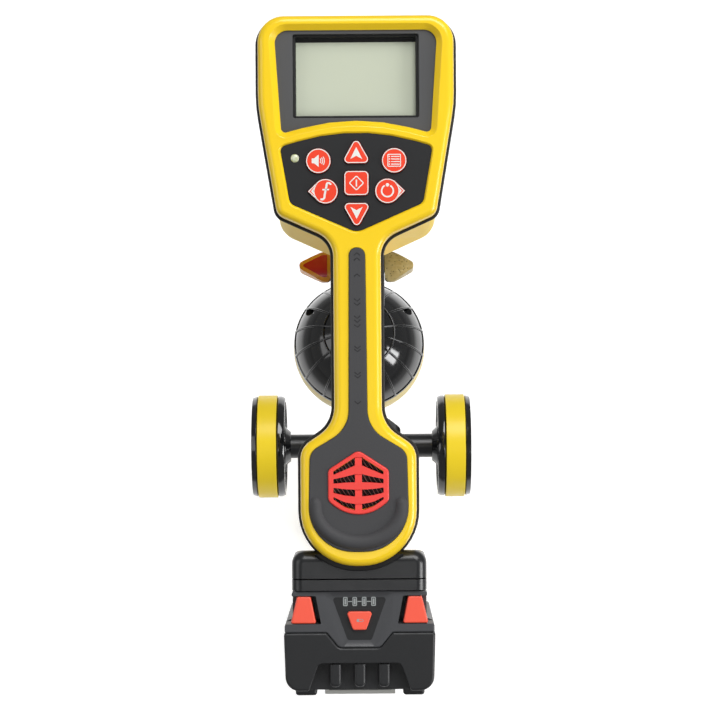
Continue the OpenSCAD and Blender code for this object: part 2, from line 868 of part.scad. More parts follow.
module battery_upper_case() {
    slot_low = pack_low - over;
    head_front_face = -pack_back - rail_step;
    head_rear_face = -pack_back - 2 * rail_step;
    color(dark) unit() difference() {
        plate(outline(pack_upper_corners), pack_low, pack_top);
        bar([-rail_neck / 2 - rail_gap, rail_neck / 2 + rail_gap], [head_front_face - over, -pack_back],
            [slot_low, rail_top + rail_gap]);
        bar([-rail_head / 2 - rail_gap, rail_head / 2 + rail_gap],
            [head_rear_face - rail_gap, head_front_face + rail_gap], [slot_low, rail_top + rail_gap]);
        bar([-terminal_w / 2 - rail_gap, terminal_w / 2 + rail_gap],
            [head_rear_face - terminal_t - rail_gap, head_rear_face],
            [slot_low, rail_low + blade_len + rail_gap]);
        for (s = [0, 1]) mirror([s, 0, 0]) release_block(release_gap, release_travel, pack_w, pack_w);
        gauge_shape(-seat_gap, pack_top - gauge_sink - gauge_t, pack_top + over);
        gauge_button_shape(-button_gap, pack_top - gauge_well, pack_top + over);
        cell_room();
    }
}

// Hand recess in the rear end of the gauge face, with upright fins
module hand_recess() {
    front = -pack_end_back + recess_len;
    fin_end = -pack_end_back + fin_short + fin_t / 2;
    fin_low = pack_top - recess_depth - over;
    fin_high = pack_top - fin_drop;
    difference() {
        wedge(front, recess_half, recess_rear_half, recess_len + 2, 0,
            pack_top - recess_depth, pack_top + over);
        for (x = [-fin_pitch, 0, fin_pitch]) {
            bar([x - fin_t / 2, x + fin_t / 2], [fin_end, front + over], [fin_low, fin_high]);
            translate([x, fin_end, 0]) rod(fin_t / 2, fin_low, fin_high);
        }
    }
}

module battery_lower_case() {
    color(dark) unit() difference() {
        union() {
            plate(outline(pack_lower_corners), pack_low, pack_top);
            for (s = [-1, 1]) bar([s * pack_foot_at - pack_foot_half, s * pack_foot_at + pack_foot_half],
                [-pack_end_back - pack_foot_h, -pack_end_back + over],
                [pack_low + pack_foot_margin, pack_top - pack_foot_margin]);
        }
        cell_room();
        hand_recess();
    }
}

module battery_base_plate() {
    color("#C9C9C4") unit() bar([-base_half, base_half], [-pack_end_back - base_t, -pack_end_back],
        [pack_low + base_margin, pack_top - base_margin]);
}

module battery_release_left() { mirror([1, 0, 0]) release(); }
module battery_release_right() { release(); }

module gauge_panel() {
    color("#303133") unit() difference() {
        gauge_shape(0, pack_top - gauge_sink - gauge_t, pack_top - gauge_sink);
        gauge_button_shape(-button_gap, pack_top - gauge_well, pack_top + over);
    }
}

module gauge_button() {
    color(red) unit() gauge_button_shape(0, pack_top - gauge_well + gauge_button_travel + button_gap,
        pack_top + gauge_button_proud);
}

module battery_cells() {
    color("#5B8FB0") unit() for (row = [0, 1], i = [0 : 4])
        translate([0, cells_floor + cell_pitch * (row + 0.5), cells_low + cell_pitch * (i + 0.5)])
            cross_rod(cell_d / 2, -cell_len / 2, cell_len / 2);
}

// Mast

module tube(r, low, high) {
    difference() {
        rod(r, low, high);
        rod(r - tube_wall, low - over, high + over);
    }
}

module upper_mast() {
    color(black) tube(mast_r, fold_z + 12, mast_top);
}

module mast_collar() {
    color(dark) difference() {
        rod(socket_r, socket_low - collar_h, socket_low);
        rod(mast_r + tube_gap, socket_low - collar_h - over, socket_low + over);
    }
}

// Markers

holder_half = 15.5;
tongue_half = 4.8;
tongue_from = 6;
tongue_gap = 0.2;
tongue_t = 5.6;
marker_gap = 0.3;
marker_edge = 2.7;
holder_corners = both_sides([[holder_half, -socket_r + 3, 8], [holder_half, marker_out + 10, 4]]);

module marker_holder() {
    low = marker_z - holder_h / 2;
    color(black) difference() {
        plate(outline(holder_corners), low, low + holder_h);
        rod(mast_r + tube_gap, low - over, low + holder_h + over);
        for (s = [0, 1]) mirror([s, 0, 0]) bar([tongue_from - tongue_gap, holder_half + over],
            [marker_out - tongue_half - tongue_gap, marker_out + tongue_half + tongue_gap],
            [marker_z - tongue_t / 2 - tongue_gap, marker_z + tongue_t / 2 + tongue_gap]);
    }
}

// A leaf with crowned faces and a tongue that clips into the holder
module marker() {
    root = holder_half + marker_gap;
    half = marker_w / 2;
    swell = half + 0.2;
    sag = (marker_t - marker_edge) / 2;
    crown_r = (half * half + sag * sag) / 2 / sag;
    leaf = [[root, -half + 0.4, 2.5], [root + 5, -swell, 6], [marker_reach + 1.2, 0, 3],
        [root + 5, swell, 6], [root, half - 0.4, 2.5]];
    translate([0, marker_out, marker_z]) {
        intersection() {
            plate(outline(leaf), -marker_t / 2, marker_t / 2);
            translate([0, 0, crown_r - marker_t / 2]) cross_rod(crown_r, 0, marker_reach + over);
            translate([0, 0, marker_t / 2 - crown_r]) cross_rod(crown_r, 0, marker_reach + over);
        }
        bar([tongue_from, root + 4], [-tongue_half, tongue_half], [-tongue_t / 2, tongue_t / 2]);
    }
}

module marker_left() { color("#D8281E") mirror([1, 0, 0]) marker(); }
module marker_right() { color("#9A8C3C") marker(); }

// Antenna balls

boss_at = node_r - 6;
node_head_r = screw_head_r - 0.4;
boss_out_r = 4;
ring_turn = 32;
boss_turns = [30, 150, 270];

module at_bosses() {
    for (a = boss_turns) rotate([0, 0, a]) translate([boss_at, 0, 0]) children();
}

module node_ribs() {
    for (i = [0 : rib_count - 1]) rotate([0, 0, (i + 0.5) * 360 / rib_count])
        bar([mast_r, node_r + 2], [-0.7, 0.7], [0, node_r]);
    translate([0, 0, node_r * cos(ring_turn)]) rod(node_r, -0.7, 0.7);
    rod(node_r + 2, node_split, node_split + 2.5);
}

module node_cap(z) {
    translate([0, 0, z]) difference() {
        union() {
            difference() {
                union() {
                    sphere(node_r);
                    intersection() {
                        sphere(node_r + rib_h);
                        node_ribs();
                    }
                }
                sphere(node_r - node_wall);
            }
            intersection() {
                sphere(node_r - node_wall / 4);
                at_bosses() rod(boss_out_r, node_split, node_split + node_boss_len);
            }
        }
        rod(2 * node_r, -2 * node_r, node_split);
        rod(mast_r + tube_gap, 0, 2 * node_r);
        at_bosses() rod(screw_r + seat_gap, node_split - over, node_split + node_boss_len + over);
        at_bosses() rod(node_head_r + 2 * seat_gap, node_split + node_screw_len,
            node_split + node_boss_len + over);
    }
}

module node_base(z, low_cut, bore_from) {
    translate([0, 0, z]) difference() {
        union() {
            difference() {
                sphere(node_r);
                sphere(node_r - node_wall);
            }
            at_bosses() rod(boss_out_r - 0.6, node_split - node_base_boss, node_split);
        }
        rod(2 * node_r, node_split, 2 * node_r);
        rod(2 * node_r, -2 * node_r, low_cut);
        rod(mast_r + tube_gap, bore_from, 2 * node_r);
        at_bosses() rod(screw_r + seat_gap, node_split - node_screw_len - 1, node_split + over);
    }
}

module node_coils(z) {
    bore = mast_r + tube_gap;
    sleeve = mast_r + sleeve_t;
    translate([0, 0, z]) rotate_extrude() polygon([
        [bore, -sleeve_half], [sleeve, -sleeve_half], [sleeve, -coil_half], [coil_r, -coil_half],
        [coil_r, coil_half], [sleeve, coil_half], [sleeve, sleeve_half], [bore, sleeve_half]]);
}

module upper_node_cap() { color(black) node_cap(upper_node_z); }
module upper_node_base() { color(cream) node_base(upper_node_z, -2 * node_r + over, -2 * node_r); }
module upper_node_coils() { color(copper) node_coils(upper_node_z); }
module lower_node_cap() { color(black) node_cap(lower_node_z); }
module lower_node_base() { color(cream) node_base(lower_node_z, foot_t - lower_node_z, 0); }
module lower_node_coils() { color(copper) node_coils(lower_node_z); }

module node_screws() {
    color(steel) translate([0, 0, upper_node_z + node_split]) at_bosses() {
        rod(screw_r, -node_screw_len, node_screw_len);
        rod(node_head_r, node_screw_len, node_screw_len + screw_head_t);
    }
}

module foot_pad() {
    color(rubber) rod(foot_r, 0, foot_t);
}

// Fold joint

module at_hinge() {
    translate([0, fold_out, fold_z]) children();
}

module fold_knuckle() {
    low = fold_z + fold_gap / 2;
    color(black) difference() {
        union() {
            rod(knuckle_r, low, low + knuckle_len);
            at_hinge() cross_rod(ear_r, -ear_half, ear_half);
            bar([-ear_half, ear_half], [0, fold_out], [low, fold_z + ear_r]);
            translate([0, 0, button_z]) rotate([90, 0, 0]) rod(button_r + 3, mast_r, button_out - 2);
        }
        rod(mast_r + tube_gap, fold_z + 12 - seat_gap, low + knuckle_len + over);
        at_hinge() cross_rod(pin_d / 2 + pin_gap, -ear_half - over, ear_half + over);
        translate([0, 0, button_z]) rotate([90, 0, 0]) rod(button_r + pin_gap, mast_r + 3.5, button_out);
    }
}

module fold_release() {
    color(red) translate([0, 0, button_z]) rotate([90, 0, 0])
        rod(button_r, mast_r + 3.8 + button_travel, button_out - 2 + button_travel);
}

module hinge_pin() {
    half = ear_half + ear_gap + ear_t;
    color(steel) at_hinge() cross_rod(pin_d / 2, -half, half);
}

module fold_fork() {
    high = fold_z - fold_gap / 2;
    color(black) difference() {
        union() {
            rod(knuckle_r, high - knuckle_len, high);
            for (s = [0, 1]) mirror([s, 0, 0]) {
                at_hinge() cross_rod(ear_r, ear_half + ear_gap, ear_half + ear_gap + ear_t);
                bar([ear_half + ear_gap, ear_half + ear_gap + ear_t], [6, fold_out], [fold_z - ear_r, high]);
            }
        }
        rod(mast_r + tube_gap, high - knuckle_len - over, fold_z - 12 + seat_gap);
        at_hinge() cross_rod(pin_d / 2 + 0.02, -2 * ear_r, 2 * ear_r);
    }
}

module lower_mast() {
    color(black) tube(mast_r, lower_node_z, fold_z - 12);
}

// Cross tube and side discs

module tee_housing() {
    color(black) translate([0, 0, cross_z]) difference() {
        union() {
            rod(knuckle_r, -tee_low, tee_neck);
            intersection() {
                rotate([90, 0, 0]) linear_extrude(height = 2 * tee_depth, center = true)
                    polygon(outline(both_sides([[mast_r, 6 - tee_low, 4], [tee_half, -tee_shoulder, 5],
                        [tee_half, tee_shoulder, 5], [mast_r, tee_shoulder + tee_rise, 2]])));
                plate(outline(both_sides([[tee_flat, -tee_depth / 2, 6], [tee_half, -tee_side, 3],
                    [tee_half, tee_side, 3], [tee_flat, tee_depth / 2, 6]])), -tee_low, tee_neck);
            }
        }
        rod(mast_r + tube_gap, -tee_low - over, tee_neck + over);
        cross_rod(cross_d / 2 + tube_gap, -tee_half - over, tee_half + over);
    }
}

module antenna_axles() {
    color(black) translate([0, 0, cross_z]) for (s = [0, 1]) mirror([s, 0, 0]) difference() {
        cross_rod(cross_d / 2, mast_r + 1, disc_face_in + 2 * disc_wall);
        cross_rod(cross_d / 2 - tube_wall, mast_r, disc_face_in + 2 * disc_wall + over);
    }
}

// A turned profile of [radius, distance from the mast] on one side
module disc_turn(side, profile) {
    translate([0, 0, cross_z]) rotate([0, side * 90, 0]) rotate_extrude() polygon(profile);
}

module disc_ribs(side, from, to, low, high) {
    translate([0, 0, cross_z]) rotate([0, side * 90, 0])
        for (i = [0 : disc_rib_count - 1]) rotate([0, 0, i * 360 / disc_rib_count])
            bar([from, to], [-0.8, 0.8], [low, high]);
}

rim_r = disc_r - 0.6;
band_t = 3;
seat_r = disc_r - band_t - seat_gap;
rim_in = disc_r - 5.5;

module disc_inner(side) {
    bore = cross_d / 2 + tube_gap;
    band = band_at - band_w / 2;
    face = disc_face_in + disc_wall;
    color(black) {
        disc_turn(side, [[bore, hub_end], [hub_end_r, hub_end], [hub_r, disc_face_in], [hub_r, face],
            [rim_in, face], [rim_in + 0.8, disc_face_in], [rim_r - 1.2, disc_face_in],
            [rim_r, disc_face_in + 2.5], [rim_r, band], [seat_r, band], [seat_r, face + disc_wall],
            [bore, face + disc_wall]]);
        disc_ribs(side, hub_r - 1, rim_in + 0.6, disc_face_in + 0.6, face + over);
    }
}

module disc_outer(side) {
    band = band_at + band_w / 2;
    face = disc_face_out - 1.9;
    color(black) {
        disc_turn(side, [[0, band - 0.6], [seat_r, band - 0.6], [seat_r, band], [rim_r, band],
            [rim_r - 1, disc_face_out], [rim_in + 0.8, disc_face_out], [rim_in, face], [11, face],
            [10, disc_face_out], [0, disc_face_out]]);
        disc_ribs(side, 10, rim_in + 0.6, face - over, disc_face_out - 0.6);
    }
}

module disc_band(side) {
    color(yellow) disc_turn(side, [[disc_r - band_t, band_at - band_w / 2], [disc_r, band_at - band_w / 2],
        [disc_r, band_at + band_w / 2], [disc_r - band_t, band_at + band_w / 2]]);
}

module disc_inner_left() { disc_inner(-1); }
module disc_inner_right() { disc_inner(1); }
module disc_outer_left() { disc_outer(-1); }
module disc_outer_right() { disc_outer(1); }
module disc_band_left() { disc_band(-1); }
module disc_band_right() { disc_band(1); }

module gradient_coils() {
    half = band_w / 2 - 1.6;
    color(copper) for (side = [-1, 1]) disc_turn(side, [[disc_r - band_t - 5, band_at - half],
        [disc_r - band_t - coil_gap, band_at - half], [disc_r - band_t - coil_gap, band_at + half],
        [disc_r - band_t - 5, band_at + half]]);
}

top_shell();
bottom_shell();
shell_seal();
display_bezel();
display_lens();
lcd_module();
keypad_panel();
key_sound();
key_up();
key_menu();
key_left();
key_select();
key_right();
key_down();
keypad_mat();
status_led();
main_board();
grip_pad();
speaker_grille();
speaker_mesh();
speaker_driver();
handset_screws();
battery_dock();
dock_rail();
dock_terminals();
battery_upper_case();
battery_lower_case();
battery_base_plate();
battery_release_left();
battery_release_right();
gauge_panel();
gauge_button();
battery_cells();
upper_mast();
mast_collar();
marker_holder();
marker_left();
marker_right();
upper_node_cap();
upper_node_base();
upper_node_coils();
node_screws();
fold_knuckle();
hinge_pin();
fold_fork();
fold_release();
lower_mast();
tee_housing();
antenna_axles();
disc_inner_left();
disc_inner_right();
disc_outer_left();
disc_outer_right();
disc_band_left();
disc_band_right();
gradient_coils();
lower_node_cap();
lower_node_base();
lower_node_coils();
foot_pad();
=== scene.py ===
"""Looks of a hand-held utility-line locator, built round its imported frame."""
import json
import math

import bmesh
import bpy
import numpy as np
from mathutils import Matrix, Vector


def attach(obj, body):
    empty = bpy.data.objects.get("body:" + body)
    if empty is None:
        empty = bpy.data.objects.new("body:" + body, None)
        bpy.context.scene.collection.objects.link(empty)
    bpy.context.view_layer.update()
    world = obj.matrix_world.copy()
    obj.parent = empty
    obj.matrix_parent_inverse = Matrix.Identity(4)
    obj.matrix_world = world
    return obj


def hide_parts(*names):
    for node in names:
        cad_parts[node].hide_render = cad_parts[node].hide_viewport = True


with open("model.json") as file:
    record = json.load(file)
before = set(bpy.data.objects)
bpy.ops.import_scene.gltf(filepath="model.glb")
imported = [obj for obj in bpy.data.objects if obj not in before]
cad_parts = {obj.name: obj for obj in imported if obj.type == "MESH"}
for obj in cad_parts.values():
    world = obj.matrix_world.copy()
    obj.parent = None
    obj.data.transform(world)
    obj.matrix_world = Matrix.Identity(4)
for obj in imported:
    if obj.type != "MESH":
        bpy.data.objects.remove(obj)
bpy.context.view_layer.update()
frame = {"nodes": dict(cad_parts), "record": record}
record = frame["record"]
nodes = frame["nodes"]
MM = 0.001

# Frame of the top unit, in millimetres: x right, y forward along the handle, z out of the display
HANDLE_DEPTH = 32
grip_mount = next(m for m in record["mounts"] if m["name"] == "hand_grip")
face_normal = Vector(grip_mount["axis"])
TILT = math.asin(-face_normal.y)
handle_middle = Vector(grip_mount["pos_m"]) + face_normal * HANDLE_DEPTH / 2 * MM
UNIT = Matrix.Translation(handle_middle) @ Matrix.Rotation(TILT, 4, "X") @ Matrix.Scale(MM, 4)
# Frame of the mast, in millimetres: z up from the foot
MAST = Matrix.Scale(MM, 4)

# Camera: straight down on the display, a little right of the handle's middle, in millimetres
CAMERA_FAR = 1250
CAMERA_RIGHT = 6.5
CAMERA_LENS = 114
CAMERA_SHIFT = -0.0132
CAMERA_RISE = 0.0014
CAMERA_ROLL = math.radians(0.4)
camera_data = bpy.data.cameras.new("camera")
camera_data.sensor_width = 36
camera_data.lens = CAMERA_LENS
camera_data.shift_x = CAMERA_SHIFT
camera_data.shift_y = CAMERA_RISE
camera = bpy.data.objects.new("camera", camera_data)
bpy.context.collection.objects.link(camera)
view_place = UNIT @ Matrix.Translation((CAMERA_RIGHT, 0, CAMERA_FAR)) @ Matrix.Rotation(-CAMERA_ROLL, 4, "Z")
camera.matrix_world = view_place @ Matrix.Scale(1 / MM, 4)
bpy.context.scene.camera = camera


# Finishes

# Colour sockets of a Mix node, which share their names with its other sockets
MIX_A, MIX_B, MIX_OUT = 6, 7, 2
# Slow drift of colour over a moulding, in millimetres
DRIFT_SIZE = 45


def rgb(code):
    """sRGB hex to linear colour with alpha 1."""
    values = [int(code[i:i + 2], 16) / 255 for i in (1, 3, 5)]
    return [v / 12.92 if v <= 0.04045 else ((v + 0.055) / 1.055) ** 2.4 for v in values] + [1]


def add(tree, kind, settings=None, inputs=None):
    """Adds one node with its settings, and its inputs as values or links."""
    made = tree.nodes.new("ShaderNode" + kind)
    for name, value in (settings or {}).items():
        setattr(made, name, value)
    for name, value in (inputs or {}).items():
        if isinstance(value, bpy.types.NodeSocket):
            tree.links.new(value, made.inputs[name])
        else:
            made.inputs[name].default_value = value
    return made


def start(name, settings):
    """A new material: its node tree, its shader with constant settings, and its Object coordinates."""
    material = bpy.data.materials.new(name)
    material.use_nodes = True
    tree = material.node_tree
    shader = tree.nodes["Principled BSDF"]
    for entry, value in settings.items():
        shader.inputs[entry].default_value = value
    place = add(tree, "TexCoord").outputs["Object"]
    return material, tree, shader, place


def per_metre(size_mm):
    """Scale of a pattern whose cells are size_mm wide."""
    return 1 / (size_mm * MM)


def moulded(name, colour, deep, roughness, grain_mm, bump_mm, spread=0.05, settings=None):
    """Moulded plastic or rubber: grain in relief, a slow drift of colour and uneven gloss."""
    material, tree, shader, place = start(name, settings or {})
    drift = add(tree, "TexNoise", inputs={"Vector": place, "Scale": per_metre(DRIFT_SIZE)})
    tint = add(tree, "Mix", {"data_type": "RGBA"},
               {"Factor": drift.outputs["Fac"], MIX_A: rgb(colour), MIX_B: rgb(deep)})
    grain = add(tree, "TexNoise", inputs={
        "Vector": place, "Scale": per_metre(grain_mm), "Detail": 3})
    gloss = add(tree, "MapRange", inputs={
        "Value": grain.outputs["Fac"], "To Min": roughness - spread, "To Max": roughness + spread})
    relief = add(tree, "Bump", inputs={"Height": grain.outputs["Fac"], "Distance": bump_mm * MM})
    tree.links.new(tint.outputs[MIX_OUT], shader.inputs["Base Color"])
    tree.links.new(gloss.outputs["Result"], shader.inputs["Roughness"])
    tree.links.new(relief.outputs["Normal"], shader.inputs["Normal"])
    return material


# Refractive index of hard mouldings, and of soft or thin ones
HARD, SOFT = {"IOR": 1.53}, {"IOR": 1.5}
# Grain in millimetres: orange peel of a polished mould, spark-eroded mould, etched film or ink, rubber
PEEL, SPARK, ETCH, LEATHER = 7, 0.55, 0.5, 0.8

# Gloss ABS of the upper case: even colour under a clear shine, with faint orange peel
yellow_abs = moulded("yellow_gloss_abs", "#FFDA1C", "#FDD214", 0.3, PEEL, 0.004, 0.03,
                     {"IOR": 1.53, "Coat Weight": 0.25, "Coat Roughness": 0.15})
# Satin ABS of the lower case: painted paler than the upper case's yellow, as a painted reflection of the pale
# floor, with its shine spread wide
tub_abs_painted_pale = moulded("yellow_satin_abs_painted_pale", "#FBDC6A", "#F7D45A", 0.5, PEEL, 0.004, 0.03, SOFT)
# Cream ABS of the lower halves of the balls: warm and even, painted pale as a painted reflection of the pale
# floor, with a soft highlight
cream_abs_painted_pale = moulded("cream_gloss_abs_painted_pale", "#F4DF98", "#EFD685", 0.4, PEEL, 0.004, 0.03, SOFT)
# Polished black ABS: near-mirror moulding of the balls and discs
black_abs = moulded("black_gloss_abs", "#121315", "#0D0E0F", 0.12, PEEL, 0.003, 0.03,
                    {"IOR": 1.53, "Coat Weight": 0.6, "Coat Roughness": 0.08})
# Satin black ABS: softer shine that spreads the light along tubes and over the dock
satin_abs = moulded("black_satin_abs", "#202123", "#1B1C1E", 0.3, PEEL, 0.004, 0.04, HARD)
# Gloss ABS of the grille and of the pack's buttons: clean red and coral with a small soft shine
red_abs = moulded("red_gloss_abs", "#FA4B44", "#F4433C", 0.35, PEEL, 0.004, 0.04, HARD)
coral_abs = moulded("coral_gloss_abs", "#FF624A", "#FB5A43", 0.35, PEEL, 0.004, 0.04, HARD)
# Gloss ABS of the left marker: deep tones that waver over its faces
amber_abs = moulded("amber_marker_abs", "#E9A51E", "#DE8A1C", 0.25, 1.8, 0.015, 0.05, HARD)
marker_red_abs = moulded("red_marker_abs", "#C81A14", "#A80F10", 0.22, 1.8, 0.015, 0.05, HARD)
# Spark-eroded nylon: fine even grain that breaks up the shine
battery_nylon = moulded("dark_grained_nylon", "#1F2022", "#1B1C1E", 0.45, SPARK, 0.05, 0.08, HARD)
upper_nylon = moulded("grey_grained_nylon", "#47484B", "#414245", 0.42, SPARK, 0.04, 0.08, HARD)
pale_nylon = moulded("pale_grained_nylon", "#C9C9C4", "#C0C0BA", 0.5, SPARK, 0.04, 0.06, HARD)
# Grained ABS round the display: flat mid grey
panel_abs = moulded("grey_grained_abs", "#505153", "#4A4B4D", 0.5, ETCH, 0.03, 0.06, HARD)
# Etched film of the keypad: near black, with an even low sheen
keypad_film = moulded("black_keypad_film", "#1B1C1E", "#17181A", 0.45, ETCH, 0.02, 0.06, SOFT)
# Pad-printed ink: flat and opaque
# The black mask is partly real print: its wide band along the screen's front edge is painted shadow of the
# window's front wall
mask_ink_and_painted_shadow = moulded("black_mask_and_painted_shadow", "#0B0B0C", "#080809", 0.45, ETCH, 0.01, 0.05, SOFT)
white_ink = moulded("white_pad_print", "#F1F1EC", "#EAEAE4", 0.5, ETCH, 0.01, 0.05, SOFT)
grey_ink = moulded("grey_pad_print", "#A3A8A8", "#9BA0A0", 0.5, ETCH, 0.01, 0.05, SOFT)
# Soft thermoplastic rubber: matt, with a leathery grain
grip_rubber = moulded("grip_soft_rubber", "#444446", "#3E3E40", 0.7, LEATHER, 0.08, 0.08, SOFT)
dark_rubber = moulded("dark_grip_rubber", "#2C2C2E", "#272729", 0.7, LEATHER, 0.05, 0.08, SOFT)
# Extruded seal rubber: blacker and smoother than the grip
seal_rubber = moulded("black_seal_rubber", "#161617", "#101011", 0.5, LEATHER, 0.03, 0.08, SOFT)
# Silicone keys: even matt colour with a fine tooth
key_silicone = moulded("red_key_silicone", "#F9492C", "#F24226", 0.42, 0.6, 0.03, 0.06, {"IOR": 1.43})
# Vinyl film round the discs: clean yellow with a smooth shine
band_film = moulded("yellow_band_film", "#FFE22C", "#FDDB22", 0.35, PEEL, 0.004, 0.04, SOFT)
# Shrink film of the cells: thin and slightly wrinkled
cell_film = moulded("cell_shrink_film", "#5B8FB0", "#4F83A4", 0.35, 1.5, 0.02, 0.05, SOFT)
# Glass laminate of the board: green lacquer over a fine weave
board_laminate = moulded("green_board_laminate", "#1F6B3A", "#195C31", 0.4, LEATHER, 0.02, 0.06,
                         {"IOR": 1.55})


def lcd_screen():
    """Unlit liquid-crystal glass: grey-green, with the faint grid of its dots and a slow cloud of tone."""
    material, tree, shader, place = start("grey_green_lcd_glass", {"IOR": 1.52, "Roughness": 0.22})
    cloud = add(tree, "TexNoise", inputs={"Vector": place, "Scale": per_metre(30)})
    tone = add(tree, "Mix", {"data_type": "RGBA"},
               {"Factor": cloud.outputs["Fac"], MIX_A: rgb("#DDE4D0"), MIX_B: rgb("#D5DCC8")})
    dots = add(tree, "TexChecker", inputs={
        "Vector": place, "Scale": per_metre(0.45), "Color1": rgb("#FFFFFF"), "Color2": rgb("#F7F7F4")})
    grid = add(tree, "Mix", {"data_type": "RGBA", "blend_type": "MULTIPLY"},
               {"Factor": 1.0, MIX_A: tone.outputs[MIX_OUT], MIX_B: dots.outputs["Color"]})
    tree.links.new(grid.outputs[MIX_OUT], shader.inputs["Base Color"])
    return material


def clear_cover():
    """Clear acrylic cover: nearly unseen, with the gloss of its face and faint wipe marks."""
    material, tree, shader, place = start("clear_acrylic", {
        "IOR": 1.49, "Base Color": rgb("#2A2C2A"), "Alpha": 0.03})
    wipes = add(tree, "TexNoise", inputs={"Vector": place, "Scale": per_metre(12), "Detail": 4})
    gloss = add(tree, "MapRange", inputs={
        "Value": wipes.outputs["Fac"], "To Min": 0.04, "To Max": 0.14})
    tree.links.new(gloss.outputs["Result"], shader.inputs["Roughness"])
    return material


def led_lens():
    """Clear epoxy lens of the light: pale, wet-looking, with the greenish chip showing through."""
    material, tree, shader, place = start("pale_epoxy_lens", {
        "IOR": 1.5, "Roughness": 0.1, "Coat Weight": 0.5})
    chip = add(tree, "TexVoronoi", inputs={"Vector": place, "Scale": per_metre(2.2)})
    tone = add(tree, "Mix", {"data_type": "RGBA"},
               {"Factor": chip.outputs["Distance"], MIX_A: rgb("#B9C48A"), MIX_B: rgb("#F0F2E4")})
    tree.links.new(tone.outputs[MIX_OUT], shader.inputs["Base Color"])
    return material


def speckled_gold():
    """Olive-gold plastic with dark flecks and a worn, uneven shine."""
    material, tree, shader, place = start("speckled_gold_plastic", {"IOR": 1.5})
    cloud = add(tree, "TexNoise", inputs={"Vector": place, "Scale": per_metre(5), "Detail": 5})
    tone = add(tree, "Mix", {"data_type": "RGBA"},
               {"Factor": cloud.outputs["Fac"], MIX_A: rgb("#B09A5C"), MIX_B: rgb("#DCCD98")})
    fleck = add(tree, "TexVoronoi", inputs={"Vector": place, "Scale": per_metre(1.6)})
    dark = add(tree, "MapRange", inputs={
        "Value": fleck.outputs["Distance"], "From Min": 0.1, "From Max": 0.3, "To Min": 0.75, "To Max": 0.0})
    mixed = add(tree, "Mix", {"data_type": "RGBA"},
                {"Factor": dark.outputs["Result"], MIX_A: tone.outputs[MIX_OUT], MIX_B: rgb("#4A3F1C")})
    gloss = add(tree, "MapRange", inputs={
        "Value": cloud.outputs["Fac"], "To Min": 0.25, "To Max": 0.5})
    relief = add(tree, "Bump", inputs={"Height": fleck.outputs["Distance"], "Distance": 0.15 * MM})
    tree.links.new(mixed.outputs[MIX_OUT], shader.inputs["Base Color"])
    tree.links.new(gloss.outputs["Result"], shader.inputs["Roughness"])
    tree.links.new(relief.outputs["Normal"], shader.inputs["Normal"])
    return material


def woven_mesh():
    """Fine metal cloth behind the grille: bright threads, drawn 2 mm apart so that they show, over black."""
    material, tree, shader, place = start("woven_speaker_mesh", {"IOR": 1.5, "Roughness": 0.4})
    slant = (0, 0, math.radians(-32))
    turned_place = add(tree, "Mapping", inputs={"Vector": place, "Rotation": slant})
    threads = add(tree, "TexWave", inputs={
        "Vector": turned_place.outputs["Vector"], "Scale": math.tau / 20 * per_metre(2), "Distortion": 1.5})
    bright = add(tree, "MapRange", inputs={
        "Value": threads.outputs["Fac"], "From Min": 0.72, "From Max": 0.95})
    tone = add(tree, "Mix", {"data_type": "RGBA"},
               {"Factor": bright.outputs["Result"], MIX_A: rgb("#0A0A0B"), MIX_B: rgb("#9C9C94")})
    relief = add(tree, "Bump", inputs={"Height": threads.outputs["Fac"], "Distance": 0.2 * MM})
    tree.links.new(tone.outputs[MIX_OUT], shader.inputs["Base Color"])
    tree.links.new(relief.outputs["Normal"], shader.inputs["Normal"])
    return material


# Modelling helpers. Pieces are shaped in millimetres in the frame of their unit, and settled into place last

ARC_STEP = math.radians(7.5)


def outline(corners, inset=0.0):
    """Points of a closed anticlockwise outline: corners are (x, y, radius), inset moves its sides in."""
    points = []
    for i, (x, y, radius) in enumerate(corners):
        here = Vector((x, y))
        before = Vector(corners[i - 1][:2])
        after = Vector(corners[(i + 1) % len(corners)][:2])
        way_in = (here - before).normalized()
        way_out = (after - here).normalized()
        turn = math.atan2(way_in.x * way_out.y - way_in.y * way_out.x, way_in.dot(way_out))
        side = math.copysign(1, turn)
        inward = Vector((-way_in.y, way_in.x)) * side
        centre = here - way_in * radius * math.tan(abs(turn) / 2) + inward * radius
        steps = max(2, math.ceil(abs(turn) / ARC_STEP))
        reach = -inward * (radius - inset * side)
        for k in range(steps + 1):
            points.append(centre + Matrix.Rotation(turn * k / steps, 2) @ reach)
    return points


def both_sides(right):
    """Corners of the right side, rear to front, with their mirror images."""
    return right + [(-x, y, r) for x, y, r in reversed(right)]


def with_ends(rear, right, *front):
    """Corners of an outline with a middle corner at its rear, and maybe one at its front."""
    return [rear] + right + list(front) + [(-x, y, r) for x, y, r in reversed(right)]


def disc_outline(radius, count=48, x=0.0, y=0.0):
    """Points of a circle."""
    turns = [math.tau * k / count for k in range(count)]
    return [Vector((x + radius * math.cos(a), y + radius * math.sin(a))) for a in turns]


def pick(*pieces):
    """Selects these pieces alone, and makes the first of them active."""
    bpy.ops.object.select_all(action="DESELECT")
    for piece in pieces:
        piece.select_set(True)
    bpy.context.view_layer.objects.active = pieces[0]


def recalculate(piece):
    """Faces outwards, doubles merged."""
    bpy.ops.object.mode_set(mode="EDIT")
    bpy.ops.mesh.select_all(action="SELECT")
    bpy.ops.mesh.remove_doubles(threshold=0.0005)
    bpy.ops.mesh.normals_make_consistent(inside=False)
    bpy.ops.object.mode_set(mode="OBJECT")
    return piece


def ring(places):
    """A filled circle with its corners moved to places, as the start of a solid: left in edit mode."""
    bpy.ops.object.select_all(action="DESELECT")
    bpy.ops.mesh.primitive_circle_add(vertices=len(places), fill_type="NGON")
    piece = bpy.context.object
    for vertex, place in zip(piece.data.vertices, places):
        vertex.co = place
    bpy.ops.object.mode_set(mode="EDIT")
    bpy.ops.mesh.select_all(action="SELECT")
    return piece


